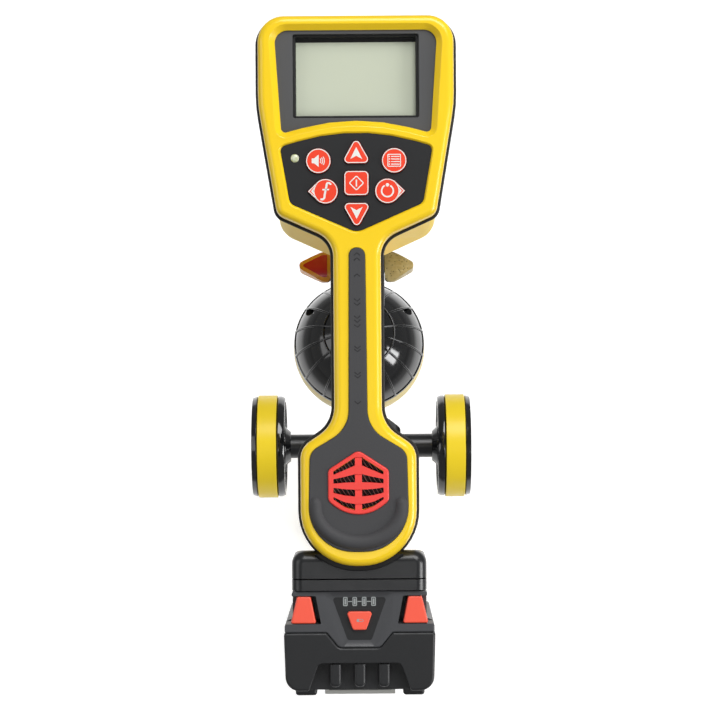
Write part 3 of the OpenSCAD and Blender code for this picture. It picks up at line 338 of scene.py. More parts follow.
def stack(levels):
    """A solid through outlines of equal point counts, given as (points, height): a filled circle is
    moved onto the first one and extruded onto each of the rest."""
    first, floor_height = levels[0]
    piece = ring([(*point, floor_height) for point in first])
    for (below, _), (points, height) in zip(levels, levels[1:]):
        bpy.ops.mesh.extrude_region_move()
        cage = bmesh.from_edit_mesh(piece.data)
        lid = next(face for face in cage.faces if face.select)
        known = np.array([tuple(p) for p in below])
        for vertex in lid.verts:
            nearest = int(np.hypot(*(known - np.array(vertex.co.xy)).T).argmin())
            vertex.co = (*points[nearest], height)
        bmesh.update_edit_mesh(piece.data)
    bpy.ops.object.mode_set(mode="OBJECT")
    return recalculate(piece)


def plate(points, low, high):
    """A flat plate with an outline, between two heights."""
    return stack([(points, low), (points, high)])


def rounded(corners, low, high, edge, inset=0.0, steps=5, low_edge=0.0):
    """A plate with quarter-round edges: of radius edge at the top and low_edge at the bottom."""
    turns = [math.pi / 2 * k / steps for k in range(steps + 1)]
    levels = []
    if low_edge:
        levels += [(outline(corners, inset + low_edge * (1 - math.sin(a))),
                    low + low_edge * (1 - math.cos(a))) for a in turns[:-1]]
    levels.append((outline(corners, inset), low + low_edge))
    levels += [(outline(corners, inset + edge * (1 - math.cos(a))),
                high - edge * (1 - math.sin(a))) for a in turns]
    return stack(levels)


def turned(profile, count=72):
    """A solid of revolution about z: a closed profile of (radius, height), spun round."""
    piece = ring([(radius, 0, height) for radius, height in profile])
    bpy.ops.mesh.delete(type="ONLY_FACE")
    bpy.ops.mesh.select_all(action="SELECT")
    bpy.ops.mesh.spin(steps=count, angle=math.tau, center=(0, 0, 0), axis=(0, 0, 1), use_auto_merge=True)
    bpy.ops.object.mode_set(mode="OBJECT")
    return recalculate(piece)


def block(x, y, z):
    """A box between two corners, as the start of a piece."""
    corners = [(x[0], y[0]), (x[1], y[0]), (x[1], y[1]), (x[0], y[1])]
    return plate([Vector(c) for c in corners], *z)


def apply(piece, modifier):
    """Makes a modifier part of the mesh."""
    pick(piece)
    bpy.ops.object.modifier_apply(modifier=modifier.name)
    return piece


def combine(piece, tool, operation="DIFFERENCE"):
    """Cuts a tool from a piece, or joins or meets the two."""
    change = piece.modifiers.new("combine", "BOOLEAN")
    change.operation = operation
    change.solver = "EXACT"
    change.object = tool
    apply(piece, change)
    bpy.data.objects.remove(tool)
    return piece


def cut(piece, points, low, high):
    """Cuts a hole with an outline, between two heights."""
    combine(piece, plate(points, low, high))


def soften(piece, width, segments=3, angle=35):
    """Rounds the edges that turn by more than an angle."""
    change = piece.modifiers.new("soften", "BEVEL")
    change.width = width
    change.segments = segments
    change.limit_method = "ANGLE"
    change.angle_limit = math.radians(angle)
    change.harden_normals = True
    return apply(piece, change)


def join(pieces):
    """Joins meshes into the first one."""
    pick(*pieces)
    bpy.ops.object.join()
    return pieces[0]


def moved(piece, place):
    """A piece with its mesh moved by a matrix."""
    piece.data.transform(place)
    return piece


def settle(piece, name, place, finish, body, stands_for=(), angle=32):
    """Puts a finished piece into the frame: its name, finish and body, and hides the nodes that it stands
    for.
    """
    piece.name = name
    piece.data.name = name
    piece.data.transform(place)
    piece.data.materials.clear()
    piece.data.materials.append(finish)
    pick(piece)
    bpy.ops.object.shade_smooth_by_angle(angle=math.radians(angle))
    even = piece.modifiers.new("even", "WEIGHTED_NORMAL")
    even.keep_sharp = True
    apply(piece, even)
    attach(piece, body)
    if stands_for:
        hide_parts(*stands_for)


# Top unit: sizes in millimetres

HEAD_W, HEAD_FRONT, HEAD_FULL = 109, 190, 141
WAIST_W, WAIST_AT, NECK_AT = 88.6, 80.3, 66.5
HANDLE_W = 27.4
FLARE_AT, REAR_FULL, REAR_W, REAR_END = -34.6, -47.3, 65, -113.6
REAR_ROUND = REAR_W / 2 - 1.5
TOP_H, SEAL_T, SEAL_PROUD, FACE_T, EDGE_R = 13, 2, 1.1, 4.2, 4
SEAL_LOW = -TOP_H - SEAL_T
HEAD_DEPTH, REAR_DEPTH, TUB_START, TUB_IN, TUB_ROUND = 62, 50, 28, 1.2, 5
PANEL_W, PANEL_REAR_W, PANEL_FRONT, PANEL_REAR, ARCH_RISE, ARCH_R = 89.8, 82.2, 182, 125.2, 11, 115
WINDOW_SLOPE, WINDOW_LAND = 3.2, 1
PAD_W, PAD_TIP, PAD_REAR, PAD_DEPTH, PAD_PROUD = 10.3, 8.8, -104.5, 2, 0.8
GRILLE_W, GRILLE_AT, GRILLE_PROUD = 33.4, -67.5, 1.8
KEYPAD_FRONT, KEYPAD_SINK = 125.6, 1
SCREWS_AT, SCREW_POCKET_R, SCREW_SINK = (18, -2, -22), 3.1, 6
# How far a cutter runs past what it cuts
OVER = 0.5

HEAD_SIDE = [(WAIST_W / 2, WAIST_AT, 7), (HEAD_W / 2, HEAD_FULL, 80), (HEAD_W / 2, HEAD_FRONT, 15)]
# The upper case is set in a little, so that the seal shows all round it
TOP_IN = 0.6
CASE = both_sides([(REAR_W / 2, REAR_END, REAR_ROUND), (REAR_W / 2, REAR_FULL, 12),
                   (HANDLE_W / 2, FLARE_AT, 18), (HANDLE_W / 2, NECK_AT, 14)] + HEAD_SIDE)
TOP_SHIFT = {HEAD_FRONT: TOP_IN, REAR_END: 0.3}
CASE_TOP = [(x, y + TOP_SHIFT.get(y, 0), r) for x, y, r in CASE]
HEAD = both_sides([(HANDLE_W / 2, NECK_AT, 12), (WAIST_W / 2, WAIST_AT, 14)] + HEAD_SIDE[1:])
REAR = both_sides([(REAR_W / 2, REAR_END, REAR_ROUND), (REAR_W / 2, REAR_FULL, 15)])
PANEL = with_ends((0, PANEL_REAR + ARCH_RISE, ARCH_R), [(PANEL_REAR_W / 2, PANEL_REAR, 2.5),
                                                        (PANEL_W / 2, PANEL_FRONT, 7)])
KEYPAD = with_ends((0, NECK_AT + 4, 9), [(36.6, NECK_AT + 20.1, 5), (42, KEYPAD_FRONT - 7.8, 3.5)],
                   (0, KEYPAD_FRONT + 4.5, ARCH_R))
PAD_HALF = REAR_W / 2 - 4.7
PAD = both_sides([(PAD_HALF, PAD_REAR, PAD_HALF - 3.5), (PAD_HALF - 1.2, REAR_FULL - 2.5, 8.5),
                  (PAD_W / 2, FLARE_AT - 2.4, 18), (PAD_TIP / 2, NECK_AT - 4.3, PAD_TIP / 2 - 0.1)])
GRILLE = with_ends((0, GRILLE_AT - 21.9, 21), [(GRILLE_W / 2, GRILLE_AT - 9.2, 4),
                                               (GRILLE_W / 2, GRILLE_AT + 7.9, 3.5)],
                   (0, GRILLE_AT + 18.7, 4))


def funnel(corners, slope, depth, low):
    """Cutter for a window whose upper edge slopes outwards."""
    wide = outline(corners, -slope * (depth + OVER) / depth)
    return stack([(outline(corners), low), (outline(corners), -depth), (wide, OVER)])


def top_shell():
    """Upper case: rounded edge, sloping display window, keypad window, seat of the grip rubber."""
    shell = rounded(CASE_TOP, -TOP_H, 0, EDGE_R, TOP_IN, steps=6)
    cut(shell, outline(HEAD, 2.5), -TOP_H - OVER, -FACE_T)
    combine(shell, funnel(PANEL, WINDOW_SLOPE, FACE_T - WINDOW_LAND, -TOP_H))
    combine(shell, funnel(KEYPAD, 0.9, 1.1, -TOP_H))
    cut(shell, outline(PAD, -0.1), -PAD_DEPTH, OVER)
    cut(shell, outline(GRILLE, 2.6), -TOP_H - OVER, OVER)
    soften(shell, 0.35, 3, 24)
    settle(shell, "case_top", UNIT, yellow_abs, "handset", ["top_shell"], 40)


def tub_levels():
    """Outlines of the head's tub from its floor up: its walls run along the mast."""
    turns = [math.pi / 2 * k / 5 for k in range(6)]
    bends = [(TUB_IN + TUB_ROUND * (1 - math.sin(a)),
              -HEAD_DEPTH + TUB_ROUND * (1 - math.cos(a))) for a in turns]
    levels = []
    for inset, height in bends + [(TUB_IN, -TUB_START + OVER)]:
        lean = (height + TUB_START) * math.tan(TILT)
        levels.append(([p + Vector((0, lean)) for p in outline(HEAD, inset)], height))
    return levels


def bottom_shell():
    """Lower case: handle, head tub, rear tub and the screw pockets under the handle."""
    shell = rounded(CASE, -HANDLE_DEPTH, SEAL_LOW, 0.3, low_edge=EDGE_R)
    combine(shell, stack(tub_levels()), "UNION")
    combine(shell, rounded(REAR, -REAR_DEPTH, -TUB_START, 0.3, TUB_IN, low_edge=TUB_ROUND), "UNION")
    for at in SCREWS_AT:
        pocket = disc_outline(SCREW_POCKET_R, 40, 0, at)
        cut(shell, pocket, -HANDLE_DEPTH - OVER, -HANDLE_DEPTH + SCREW_SINK)
    soften(shell, 0.5, 2, 40)
    settle(shell, "case_bottom", UNIT, tub_abs_painted_pale, "handset", ["bottom_shell"], 40)


def shell_seal():
    """Rubber bead that stands out between the halves, and a black lip where the case meets the dock, put
    there as painted shadow of the shade between them.
    """
    bead = rounded(CASE, SEAL_LOW, -TOP_H, 0.9, -SEAL_PROUD, low_edge=0.9)
    settle(bead, "case_seal", UNIT, seal_rubber, "handset", ["shell_seal"], 50)
    # Black lip at the rear: a dark band put where the case shades the dock, as painted shadow
    lip = rounded(REAR, -10.5, -6.5, 1, -2.2, low_edge=1)
    cut(lip, outline(CASE_TOP, TOP_IN - 0.05), -20, 0)
    combine(lip, block((-60, 60), (-106.5, 0), (-20, 0)))
    settle(lip, "case_dock_shadow_lip", UNIT, seal_rubber, "handset", (), 50)


# Display

LCD_HALF, LCD_FRONT, LCD_REAR = 33.3, 178.6, 135.2
LCD_FRAME, LCD_SINK = 1.4, 6.4
LCD_TOP = -FACE_T - LCD_SINK


def lcd_corners(grow, radius):
    """Corners of the display window, grown by a border."""
    half = LCD_HALF + grow
    return both_sides([(half, LCD_REAR - grow, radius), (half, LCD_FRONT + grow, radius)])


def display():
    """Grained panel with a stepped window, the black tray behind it, the screen with its black mask, whose
    wide front band is painted shadow, and its clear cover.
    """
    panel = plate(outline(PANEL, -1.5), -FACE_T - 2, -FACE_T)
    cut(panel, outline(lcd_corners(LCD_FRAME, 1.2)), -FACE_T - 3, OVER)
    soften(panel, 0.3, 3, 40)
    settle(panel, "display_panel", UNIT, panel_abs, "handset", ["display_bezel"])
    tray = plate(outline(lcd_corners(LCD_FRAME + 2, 1.5)), LCD_TOP - 2, -FACE_T - 2)
    cut(tray, outline(lcd_corners(0, 0.5)), LCD_TOP, 0)
    soften(tray, 0.25, 2, 40)
    settle(tray, "display_tray", UNIT, seal_rubber, "handset", ["lcd_module"])
    screen = plate(outline(lcd_corners(-0.05, 0.4)), LCD_TOP - 1, LCD_TOP + 0.1)
    settle(screen, "display_screen", UNIT, lcd_screen(), "handset")
    # Black mask on the screen: a thin real border at the sides and rear, and a wide front band that is
    # painted shadow of the window's front wall
    mask = plate(outline(lcd_corners(-0.1, 0.4)), LCD_TOP, LCD_TOP + 0.25)
    inside = both_sides([(LCD_HALF - 0.3, LCD_REAR + 0.3, 0.2), (LCD_HALF - 0.3, LCD_FRONT - 2.4, 0.2)])
    cut(mask, outline(inside), LCD_TOP - OVER, LCD_TOP + OVER)
    settle(mask, "display_mask_and_painted_shadow", UNIT, mask_ink_and_painted_shadow, "handset")
    cover = rounded(lcd_corners(LCD_FRAME - 0.1, 1.1), -FACE_T - 1.4, -FACE_T - 0.6, 0.15)
    settle(cover, "display_cover", UNIT, clear_cover(), "handset", ["display_lens"])


# Keypad

KEYS_AT = KEYPAD_FRONT - 28
KEY_R, KEY_TOP, KEY_LOW, KEY_GAP, KEY_EDGE = 6.8, 0.6, -5.5, 0.35, 0.4
KEY_FLANGE, KEY_FLANGE_T = 0.9, 1.5
PRINT_T, LINE_IN, LINE_W = 0.04, 0.15, 0.5
SQUARE_KEY = both_sides([(6.7, -6.7, 2.5), (6.7, 6.7, 2.5)])
ARROW_KEY = [(8.2, -6.35, 2.3), (0, 8.4, 2.3), (-8.2, -6.35, 2.3)]
POINT_KEY_TIP = 9.7


def round_points(inset):
    """Outline of a round key."""
    return disc_outline(KEY_R - inset, 72)


def square_points(inset):
    """Outline of the square key."""
    return outline(SQUARE_KEY, inset)


def arrow_points(inset):
    """Outline of an arrow key that points forward."""
    return outline(ARROW_KEY, inset)


def pointed_points(inset):
    """Outline of a round key with a point to the right."""
    radius = KEY_R - inset
    tip = POINT_KEY_TIP - inset * 1.41
    touch = math.acos(radius / tip)
    turns = [touch + (math.tau - 2 * touch) * k / 60 for k in range(61)]
    return [Vector((radius * math.cos(a), radius * math.sin(a))) for a in turns] + [Vector((tip, 0))]


def ribbon(points, width, low, high):
    """A flat printed line of even width along points."""
    path = [Vector(p) for p in points]
    left, right = [], []
    for i, point in enumerate(path):
        way = (path[min(i + 1, len(path) - 1)] - path[max(i - 1, 0)]).normalized()
        side = Vector((-way.y, way.x)) * width / 2
        left.append(point + side)
        right.append(point - side)
    return plate(left + right[::-1], low, high)


def ring_print(shape, outer, inner, low, high):
    """A printed line between two insets of an outline."""
    line = plate(shape(outer), low, high)
    return combine(line, plate(shape(inner), low - OVER, high + OVER))


def line_print(corners, width, low, high):
    """A printed line along the inside of an outline."""
    return ring_print(lambda inset: outline(corners, inset), 0, width, low, high)


def arc_points(radius, first, last, x=0.0, y=0.0, count=16):
    """Points along an arc, in degrees."""
    turns = [math.radians(first + (last - first) * k / count) for k in range(count + 1)]
    return [(x + radius * math.cos(a), y + radius * math.sin(a)) for a in turns]


def sound_mark(z):
    """A loudspeaker with three waves."""
    horn = [(-3.6, -1.3), (-2.3, -1.3), (0.2, -3.4), (0.2, 3.4), (-2.3, 1.3), (-3.6, 1.3)]
    waves = [ribbon(arc_points(r, -32, 32, -1), 0.45, *z) for r in (2.3, 3.3, 4.3)]
    return [plate([Vector(p) for p in horn], *z)] + waves


def dart_mark(z):
    """A dart that points forward."""
    return [plate([Vector(p) for p in ((0, 2.5), (-3.3, -4.1), (0, -2.3), (3.3, -4.1))], *z)]


def list_mark(z):
    """A framed list of four lines."""
    frame_corners = both_sides([(3.7, -3.5, 0.7), (3.7, 3.5, 0.7)])
    parts = [line_print(frame_corners, 0.45, *z)]
    for row in (-2.1, -0.7, 0.7, 2.1):
        parts.append(ribbon([(-1.7, row), (3, row)], 0.5, *z))
        parts.append(ribbon([(-3, row), (-2.3, row)], 0.6, *z))
    return parts


def function_mark(z):
    """The italic letter that stands for function, drawn as three strokes."""
    hook = arc_points(1.5, 20, 120, 1.6, 3.0, 8)
    tail = arc_points(1.5, -20, -120, -2, -3, 8)
    stem = hook + [(0.3, 1.4), (-0.5, -2.2)] + tail
    return [ribbon(stem, 1.1, *z), ribbon([(-1.7, 0.9), (2, 0.9)], 0.8, *z)]


def select_mark(z):
    """A diamond with an upright bar."""
    diamond = [(4.3, 0, 0.9), (0, 4.3, 0.9), (-4.3, 0, 0.9), (0, -4.3, 0.9)]
    return [line_print(diamond, 0.6, *z), ribbon([(0, -1.9), (0, 1.9)], 0.75, *z)]


def power_mark(z):
    """An open ring with a dot in its gap."""
    return [ribbon(arc_points(3.2, 118, 422, count=48), 0.85, *z), plate(disc_outline(0.95, 24, 0, 3.3), *z)]


def side_point(z):
    """The small point at the right of a round key, with the line that parts it from the round."""
    line_r = KEY_R - 0.5
    point = [Vector((line_r, 1.9)), Vector((line_r, -1.9)), Vector((7.9, 0))]
    return [plate(point, *z), ribbon(arc_points(line_r, -42, 42), 0.55, *z)]


# Name, outline, place from the select key, turn, printed mark
KEYS = [
    ("sound", round_points, (-20.8, 12.3), 0, sound_mark),
    ("up", arrow_points, (0, 17.2), 0, dart_mark),
    ("menu", round_points, (20.8, 12.3), 0, list_mark),
    ("left", pointed_points, (-17, -4.4), math.pi, function_mark),
    ("select", square_points, (0, 0), 0, select_mark),
    ("right", pointed_points, (17, -4.4), 0, power_mark),
    ("down", arrow_points, (0, -17.2), math.pi, dart_mark),
]


def key_place(place, turn):
    """Where a key sits in the top unit."""
    return Matrix.Translation((place[0], KEYS_AT + place[1], 0)) @ Matrix.Rotation(turn, 4, "Z")


def key(name, shape, place, turn, mark):
    """One key: silicone body with a soft edge, a white border line and its symbol."""
    seat = UNIT @ key_place(place, turn)
    body = name + "_key"
    flange = shape(-KEY_FLANGE)
    levels = [(flange, KEY_LOW - KEY_FLANGE_T), (flange, KEY_LOW), (shape(0), KEY_LOW),
              (shape(0), KEY_TOP - KEY_EDGE), (shape(KEY_EDGE * 0.3), KEY_TOP - KEY_EDGE * 0.3),
              (shape(KEY_EDGE), KEY_TOP)]
    settle(stack(levels), "key_" + name + "_cap", seat, key_silicone, body, ["key_" + name])
    z = (KEY_TOP - PRINT_T, KEY_TOP + PRINT_T)
    marks = mark(z)
    if shape is pointed_points:
        for part in marks:
            moved(part, Matrix.Rotation(-turn, 4, "Z"))
        marks += side_point(z)
    marks.append(ring_print(shape, LINE_IN, LINE_IN + LINE_W, *z))
    settle(join(marks), "key_" + name + "_print", seat, white_ink, body)


LED_AT, LED_R = (-33.7, KEYS_AT + 13.9), 2.3


def keypad():
    """Panel with a hole for each key, and the light's lens."""
    panel = plate(outline(KEYPAD, 0.1), -FACE_T - 1.5, -KEYPAD_SINK)
    for _, shape, place, turn, _ in KEYS:
        hole = plate(shape(-KEY_GAP), -FACE_T - 2, OVER)
        combine(panel, moved(hole, key_place(place, turn)))
    cut(panel, disc_outline(LED_R + 0.1, 40, *LED_AT), -FACE_T - 2, OVER)
    soften(panel, 0.25, 2, 40)
    settle(panel, "keypad_face", UNIT, keypad_film, "handset", ["keypad_panel"])
    for row in KEYS:
        key(*row)
    crown = [(LED_R * math.cos(a), -1.1 + 0.9 * math.sin(a)) for a in (0.3, 0.6, 0.9, 1.2)]
    dome = turned([(0, -4), (LED_R, -4), (LED_R, -1.1)] + crown + [(0, -0.2)], 40)
    lens = moved(dome, Matrix.Translation((*LED_AT, 0)))
    settle(lens, "status_light", UNIT, led_lens(), "handset", ["status_led"])


# Grip rubber and loudspeaker

RIDGE_HALF, RIDGE_BACK, RIDGE_R, RIDGE_SINK, RIDGE_AT = 23.6, 19.4, 3.6, 1.4, -80


def tube_along(points, radius, scales):
    """A closed round bar along points, its radius scaled at each."""
    path = bpy.data.curves.new("path", "CURVE")
    path.dimensions = "3D"
    path.bevel_depth = radius
    path.bevel_resolution = 5
    path.use_fill_caps = True
    line = path.splines.new("POLY")
    line.points.add(len(points) - 1)
    for spot, at, scale in zip(line.points, points, scales):
        spot.co = (*at, 1)
        spot.radius = scale
    bar = bpy.data.objects.new("path", path)
    bpy.context.collection.objects.link(bar)
    pick(bar)
    bpy.ops.object.convert(target="MESH")
    return recalculate(bpy.context.object)


def ridge():
    """The raised roll round the rear of the rubber: full at the back, fading out along its two arms."""
    turns = [math.pi * (1 + k / 40) for k in range(41)]
    bend = [(RIDGE_HALF * math.cos(a), RIDGE_AT + RIDGE_BACK * math.sin(a)) for a in turns]
    arm = [(RIDGE_HALF, RIDGE_AT + 1 + 0.6 * k) for k in range(9)]
    flat = [(-x, y) for x, y in reversed(arm)] + bend + arm
    fade = [1 - (k / 9) ** 3 for k in range(9)]
    scales = fade[::-1] + [1 + 0.22 * math.sin(-a) for a in turns] + fade
    return tube_along([(x, y, PAD_PROUD - RIDGE_SINK) for x, y in flat], RIDGE_R, scales)


# Places of the moulded chevrons along the handle, and which way they point
CHEVRONS = [(58, 1), (55.2, 1), (46.4, 1), (34.3, -1), (32, -1), (24.9, -1), (22.7, -1), (20, -1), (8.3, -1),
            (6.6, -1), (-6, -1), (-7.8, -1), (-22, -1)]


def grip():
    """Soft rubber inlay with its ridge and the chevrons on the handle."""
    pad = rounded(PAD, -PAD_DEPTH, PAD_PROUD, 0.6)
    cut(pad, outline(GRILLE, -0.1), -PAD_DEPTH - OVER, PAD_PROUD + OVER)
    combine(pad, ridge(), "UNION")
    settle(pad, "grip_inlay", UNIT, grip_rubber, "handset", ["grip_pad"], 45)
    marks = [ribbon([(-1.7, at), (0, at + way * 1.4), (1.7, at)], 0.65, PAD_PROUD - 0.2, PAD_PROUD + 0.15)
             for at, way in CHEVRONS]
    settle(soften(join(marks), 0.12, 2), "grip_chevrons", UNIT, dark_rubber, "handset")


# Slots of the grille: their front edges from outside to inside, then their rear edges from inside to outside
SLOT_ROWS = [(7.3, 11.1, 14.9, 10.3, 7.7, 5.2), (2.9, 4.1, 5.6, 1.1, 0.9, 0.4),
             (-1.8, -2.6, -2.9, -6.7, -6.1, -4.7), (-6.8, -9.8, -10.7, -14.4, -12.5, -8.2)]
SLOT_OUT, SLOT_IN, SPINE_SINK = GRILLE_W / 2 - 2.95, 1.9, 0.6
SLOT_SIDE = [(SLOT_OUT, 0.3), ((SLOT_OUT + SLOT_IN) / 2, 14), (SLOT_IN, 0.3)]
SLOT_ENDS = SLOT_SIDE + SLOT_SIDE[::-1]


def spine_cut(front, rear):
    """Cutter that sinks the grille's upright bar under the front edge of a row of slots."""
    length = front - rear
    slope = Matrix.Rotation(-math.atan(SPINE_SINK / length), 4, "X")
    cutter = block((-SLOT_IN - 0.4, SLOT_IN + 0.4), (0, length), (0, 3))
    return moved(cutter, Matrix.Translation((0, GRILLE_AT + rear, GRILLE_PROUD)) @ slope)


def grille():
    """Red grille with four pairs of slanting slots."""
    face = rounded(GRILLE, -PAD_DEPTH, GRILLE_PROUD, 0.9)
    for row in SLOT_ROWS:
        for side in (1, -1):
            corners = [(side * x, GRILLE_AT + y, r) for (x, r), y in zip(SLOT_ENDS, row)][::side]
            cut(face, outline(corners), -PAD_DEPTH - OVER, GRILLE_PROUD + OVER)
        combine(face, spine_cut(row[2], row[3]))
    soften(face, 0.3, 3, 40)
    settle(face, "speaker_cover", UNIT, red_abs, "handset", ["speaker_grille"], 45)


top_shell()
bottom_shell()
shell_seal()
display()
keypad()
grip()
grille()


# Battery dock and pack: sizes in millimetres

DOCK_HALF, DOCK_FRONT, DOCK_REAR, DOCK_TOP, DOCK_LOW, DOCK_EDGE = 37.3, -104.9, -126.6, -8, -74, 6
DOCK_SEAM, DOCK_LEAN = DOCK_REAR + 5.9, math.radians(7)
RAIL_NECK, RAIL_HEAD, RAIL_STEP, RAIL_GAP, RAIL_TOP, RAIL_LOW = 12, 16, 3, 0.4, -22, -70
TERMINAL_HALF, TERMINAL_T, BLADE_LEN = 10, 5, 22
PACK_FACE, PACK_MID, PACK_END, PACK_TOP, PACK_LOW = -126.9, -150, -182.5, -10, -125
PACK_HALF, PACK_WAIST, PACK_SHOULDER = 42, 37.5, 41.5
DIP = [(11.4, PACK_MID - 8.4, 4), (18.2, PACK_MID, 2)]
PACK_UPPER = both_sides(DIP + [(PACK_SHOULDER, PACK_MID, 1), (PACK_SHOULDER, PACK_MID + 4.6, 2),
                               (PACK_WAIST, PACK_MID + 6, 0.6), (PACK_WAIST, PACK_FACE, 2)])
PACK_LOWER = both_sides([(PACK_HALF - 1, PACK_END, 8), (PACK_HALF, PACK_MID, 1.7), DIP[1], DIP[0]])
RELEASE_FRONT, RELEASE_REAR, RELEASE_DEPTH, RELEASE_TRAVEL, RELEASE_GAP = -130, -145, 18, 2.5, 0.3
RELEASE_IN_FRONT, RELEASE_IN_REAR, RELEASE_OUT = 27, 24, 34.5
GAUGE_SINK, GAUGE_BRIM = 1.8, (PACK_FACE - 0.7, 19.5, 8.8, 29.8)
CELLS_AT, SIGN_AT = -133, -143.3
RECESS_FRONT, RECESS_DEPTH, FIN_PITCH, FIN_HALF = PACK_END + 15.5, 7, 13.5, 3.3
RUNNER_AT, RUNNER_HALF = 30, 6


def dock():
    """Satin black holder: sloping rounded cap, a seam and a band behind it."""
    long_way = both_sides([(DOCK_HALF, DOCK_REAR - 10, 1), (DOCK_HALF, DOCK_FRONT, 7)])
    body = rounded(long_way, DOCK_LOW, DOCK_TOP, DOCK_EDGE, low_edge=3)
    combine(body, block((-50, 50), (DOCK_REAR - 20, DOCK_REAR), (-90, 10)))
    lean = block((-60, 60), (0, 40), (-90, 0))
    combine(body, moved(lean, Matrix.Translation((0, DOCK_FRONT, -16)) @ Matrix.Rotation(-DOCK_LEAN, 4, "X")))
    groove = block((-50, 50), (DOCK_SEAM, DOCK_SEAM + 0.7), (-90, 10))
    combine(groove, rounded(long_way, DOCK_LOW + 0.8, DOCK_TOP - 0.8, DOCK_EDGE, 0.8, low_edge=3))
    combine(body, groove)
    soften(body, 0.3, 3, 45)
    settle(body, "battery_holder", UNIT, satin_abs, "handset", ["battery_dock"], 40)


def wedge(front, half_front, half_rear, length, inset=0.0, radius=1.5):
    """Outline that narrows towards the rear."""
    corners = [(-half_front, front, radius), (-half_rear, front - length, radius),
               (half_rear, front - length, radius), (half_front, front, radius)]
    return outline(corners, inset)


def gauge_hollow():
    """Cutter for the gauge's V-shaped hollow: walls that slope in from its brim to its floor."""
    return stack([(wedge(*GAUGE_BRIM, 3, 4.5), PACK_TOP - GAUGE_SINK),
                  (wedge(*GAUGE_BRIM, -0.6), PACK_TOP + 0.2)])


def release_points(gap, inward, outward_front, outward_rear):
    """Outline of the right-hand release button, or of its room."""
    return [(RELEASE_IN_FRONT - gap - inward, RELEASE_FRONT + gap),
            (RELEASE_IN_REAR - gap - inward, RELEASE_REAR - gap),
            (outward_rear, RELEASE_REAR - gap), (outward_front, RELEASE_FRONT + gap)]


def upper_case():
    """Upper half of the pack: rail slot, rooms of the release buttons and the gauge's hollow."""
    case = rounded(PACK_UPPER, PACK_LOW, PACK_TOP, 0.9, low_edge=0.9)
    low = PACK_LOW - OVER
    step, rear = PACK_FACE - RAIL_STEP, PACK_FACE - 2 * RAIL_STEP
    neck, head, plug = RAIL_NECK + RAIL_GAP, RAIL_HEAD + RAIL_GAP, TERMINAL_HALF + RAIL_GAP
    combine(case, block((-neck, neck), (step - OVER, PACK_FACE + OVER), (low, RAIL_TOP + RAIL_GAP)))
    combine(case, block((-head, head), (rear - RAIL_GAP, step + RAIL_GAP), (low, RAIL_TOP + RAIL_GAP)))
    combine(case, block((-plug, plug), (rear - TERMINAL_T - RAIL_GAP, rear), (low, RAIL_LOW + BLADE_LEN)))
    for side in (1, -1):
        room = release_points(RELEASE_GAP, RELEASE_TRAVEL, 50, 50)
        corners = [(side * x, y, 0.6) for x, y in room][::side]
        cut(case, outline(corners), PACK_TOP - RELEASE_DEPTH - RELEASE_GAP, PACK_TOP + 3)
    combine(case, gauge_hollow())
    soften(case, 0.35, 3, 30)
    settle(case, "pack_upper", UNIT, upper_nylon, "battery_pack", ["battery_upper_case"], 40)


def fin(x):
    """One upright fin of the hand recess, round at its lower end."""
    left, right = x - FIN_HALF, x + FIN_HALF
    corners = [(left, RECESS_FRONT + 1, 0.2), (left, PACK_END + 2, 3), (right, PACK_END + 2, 3),
               (right, RECESS_FRONT + 1, 0.2)]
    return rounded(corners, PACK_TOP - RECESS_DEPTH - 1, PACK_TOP - 1, 1.8)


def lower_case():
    """Lower half of the pack: hand recess with three fins, and two runners that it stands on."""
    case = rounded(PACK_LOWER, PACK_LOW, PACK_TOP, 1.6, low_edge=1.6)
    recess = [(-22.7, RECESS_FRONT, 3), (-29.2, PACK_END - 2, 0.5), (29.2, PACK_END - 2, 0.5),
              (22.7, RECESS_FRONT, 3)]
    cut(case, outline(recess), PACK_TOP - RECESS_DEPTH, PACK_TOP + OVER)
    soften(case, 0.4, 3, 30)
    parts = [case] + [fin(x) for x in (-FIN_PITCH, 0, FIN_PITCH)]
    for x in (-RUNNER_AT, RUNNER_AT):
        runner = block((x - RUNNER_HALF, x + RUNNER_HALF), (PACK_END - 4, PACK_END + 3),
                       (PACK_LOW + 12, PACK_TOP - 12))
        parts.append(soften(runner, 1.6, 3))
    settle(join(parts), "pack_lower", UNIT, battery_nylon, "battery_pack",
           ["battery_lower_case"], 40)
    strip = block((-19.6, 19.6), (PACK_END - 3.4, PACK_END), (PACK_LOW + 14, PACK_TOP - 14))
    combine(strip, block((-17.5, 17.5), (PACK_END - 1.2, PACK_END - 0.5), (PACK_TOP - 18, PACK_TOP)))
    settle(soften(strip, 0.25, 2), "pack_base_strip", UNIT, pale_nylon, "battery_pack",
           ["battery_base_plate"])


def releases():
    """Red side buttons of the pack."""
    for side, name in ((1, "right"), (-1, "left")):
        shape = release_points(0, 0, RELEASE_OUT, PACK_WAIST + 0.6)
        corners = [(side * x, y, 1) for x, y in shape][::side]
        button = rounded(corners, PACK_TOP - RELEASE_DEPTH, PACK_TOP, 1)
        settle(button, "pack_release_" + name, UNIT, coral_abs, name + "_release",
               ["battery_release_" + name], 50)


def pill(x, y, half_x, half_y, radius):
    """Corners of a rounded block of print."""
    return [(x + half_x, y - half_y, radius), (x + half_x, y + half_y, radius),
            (x - half_x, y + half_y, radius), (x - half_x, y - half_y, radius)]


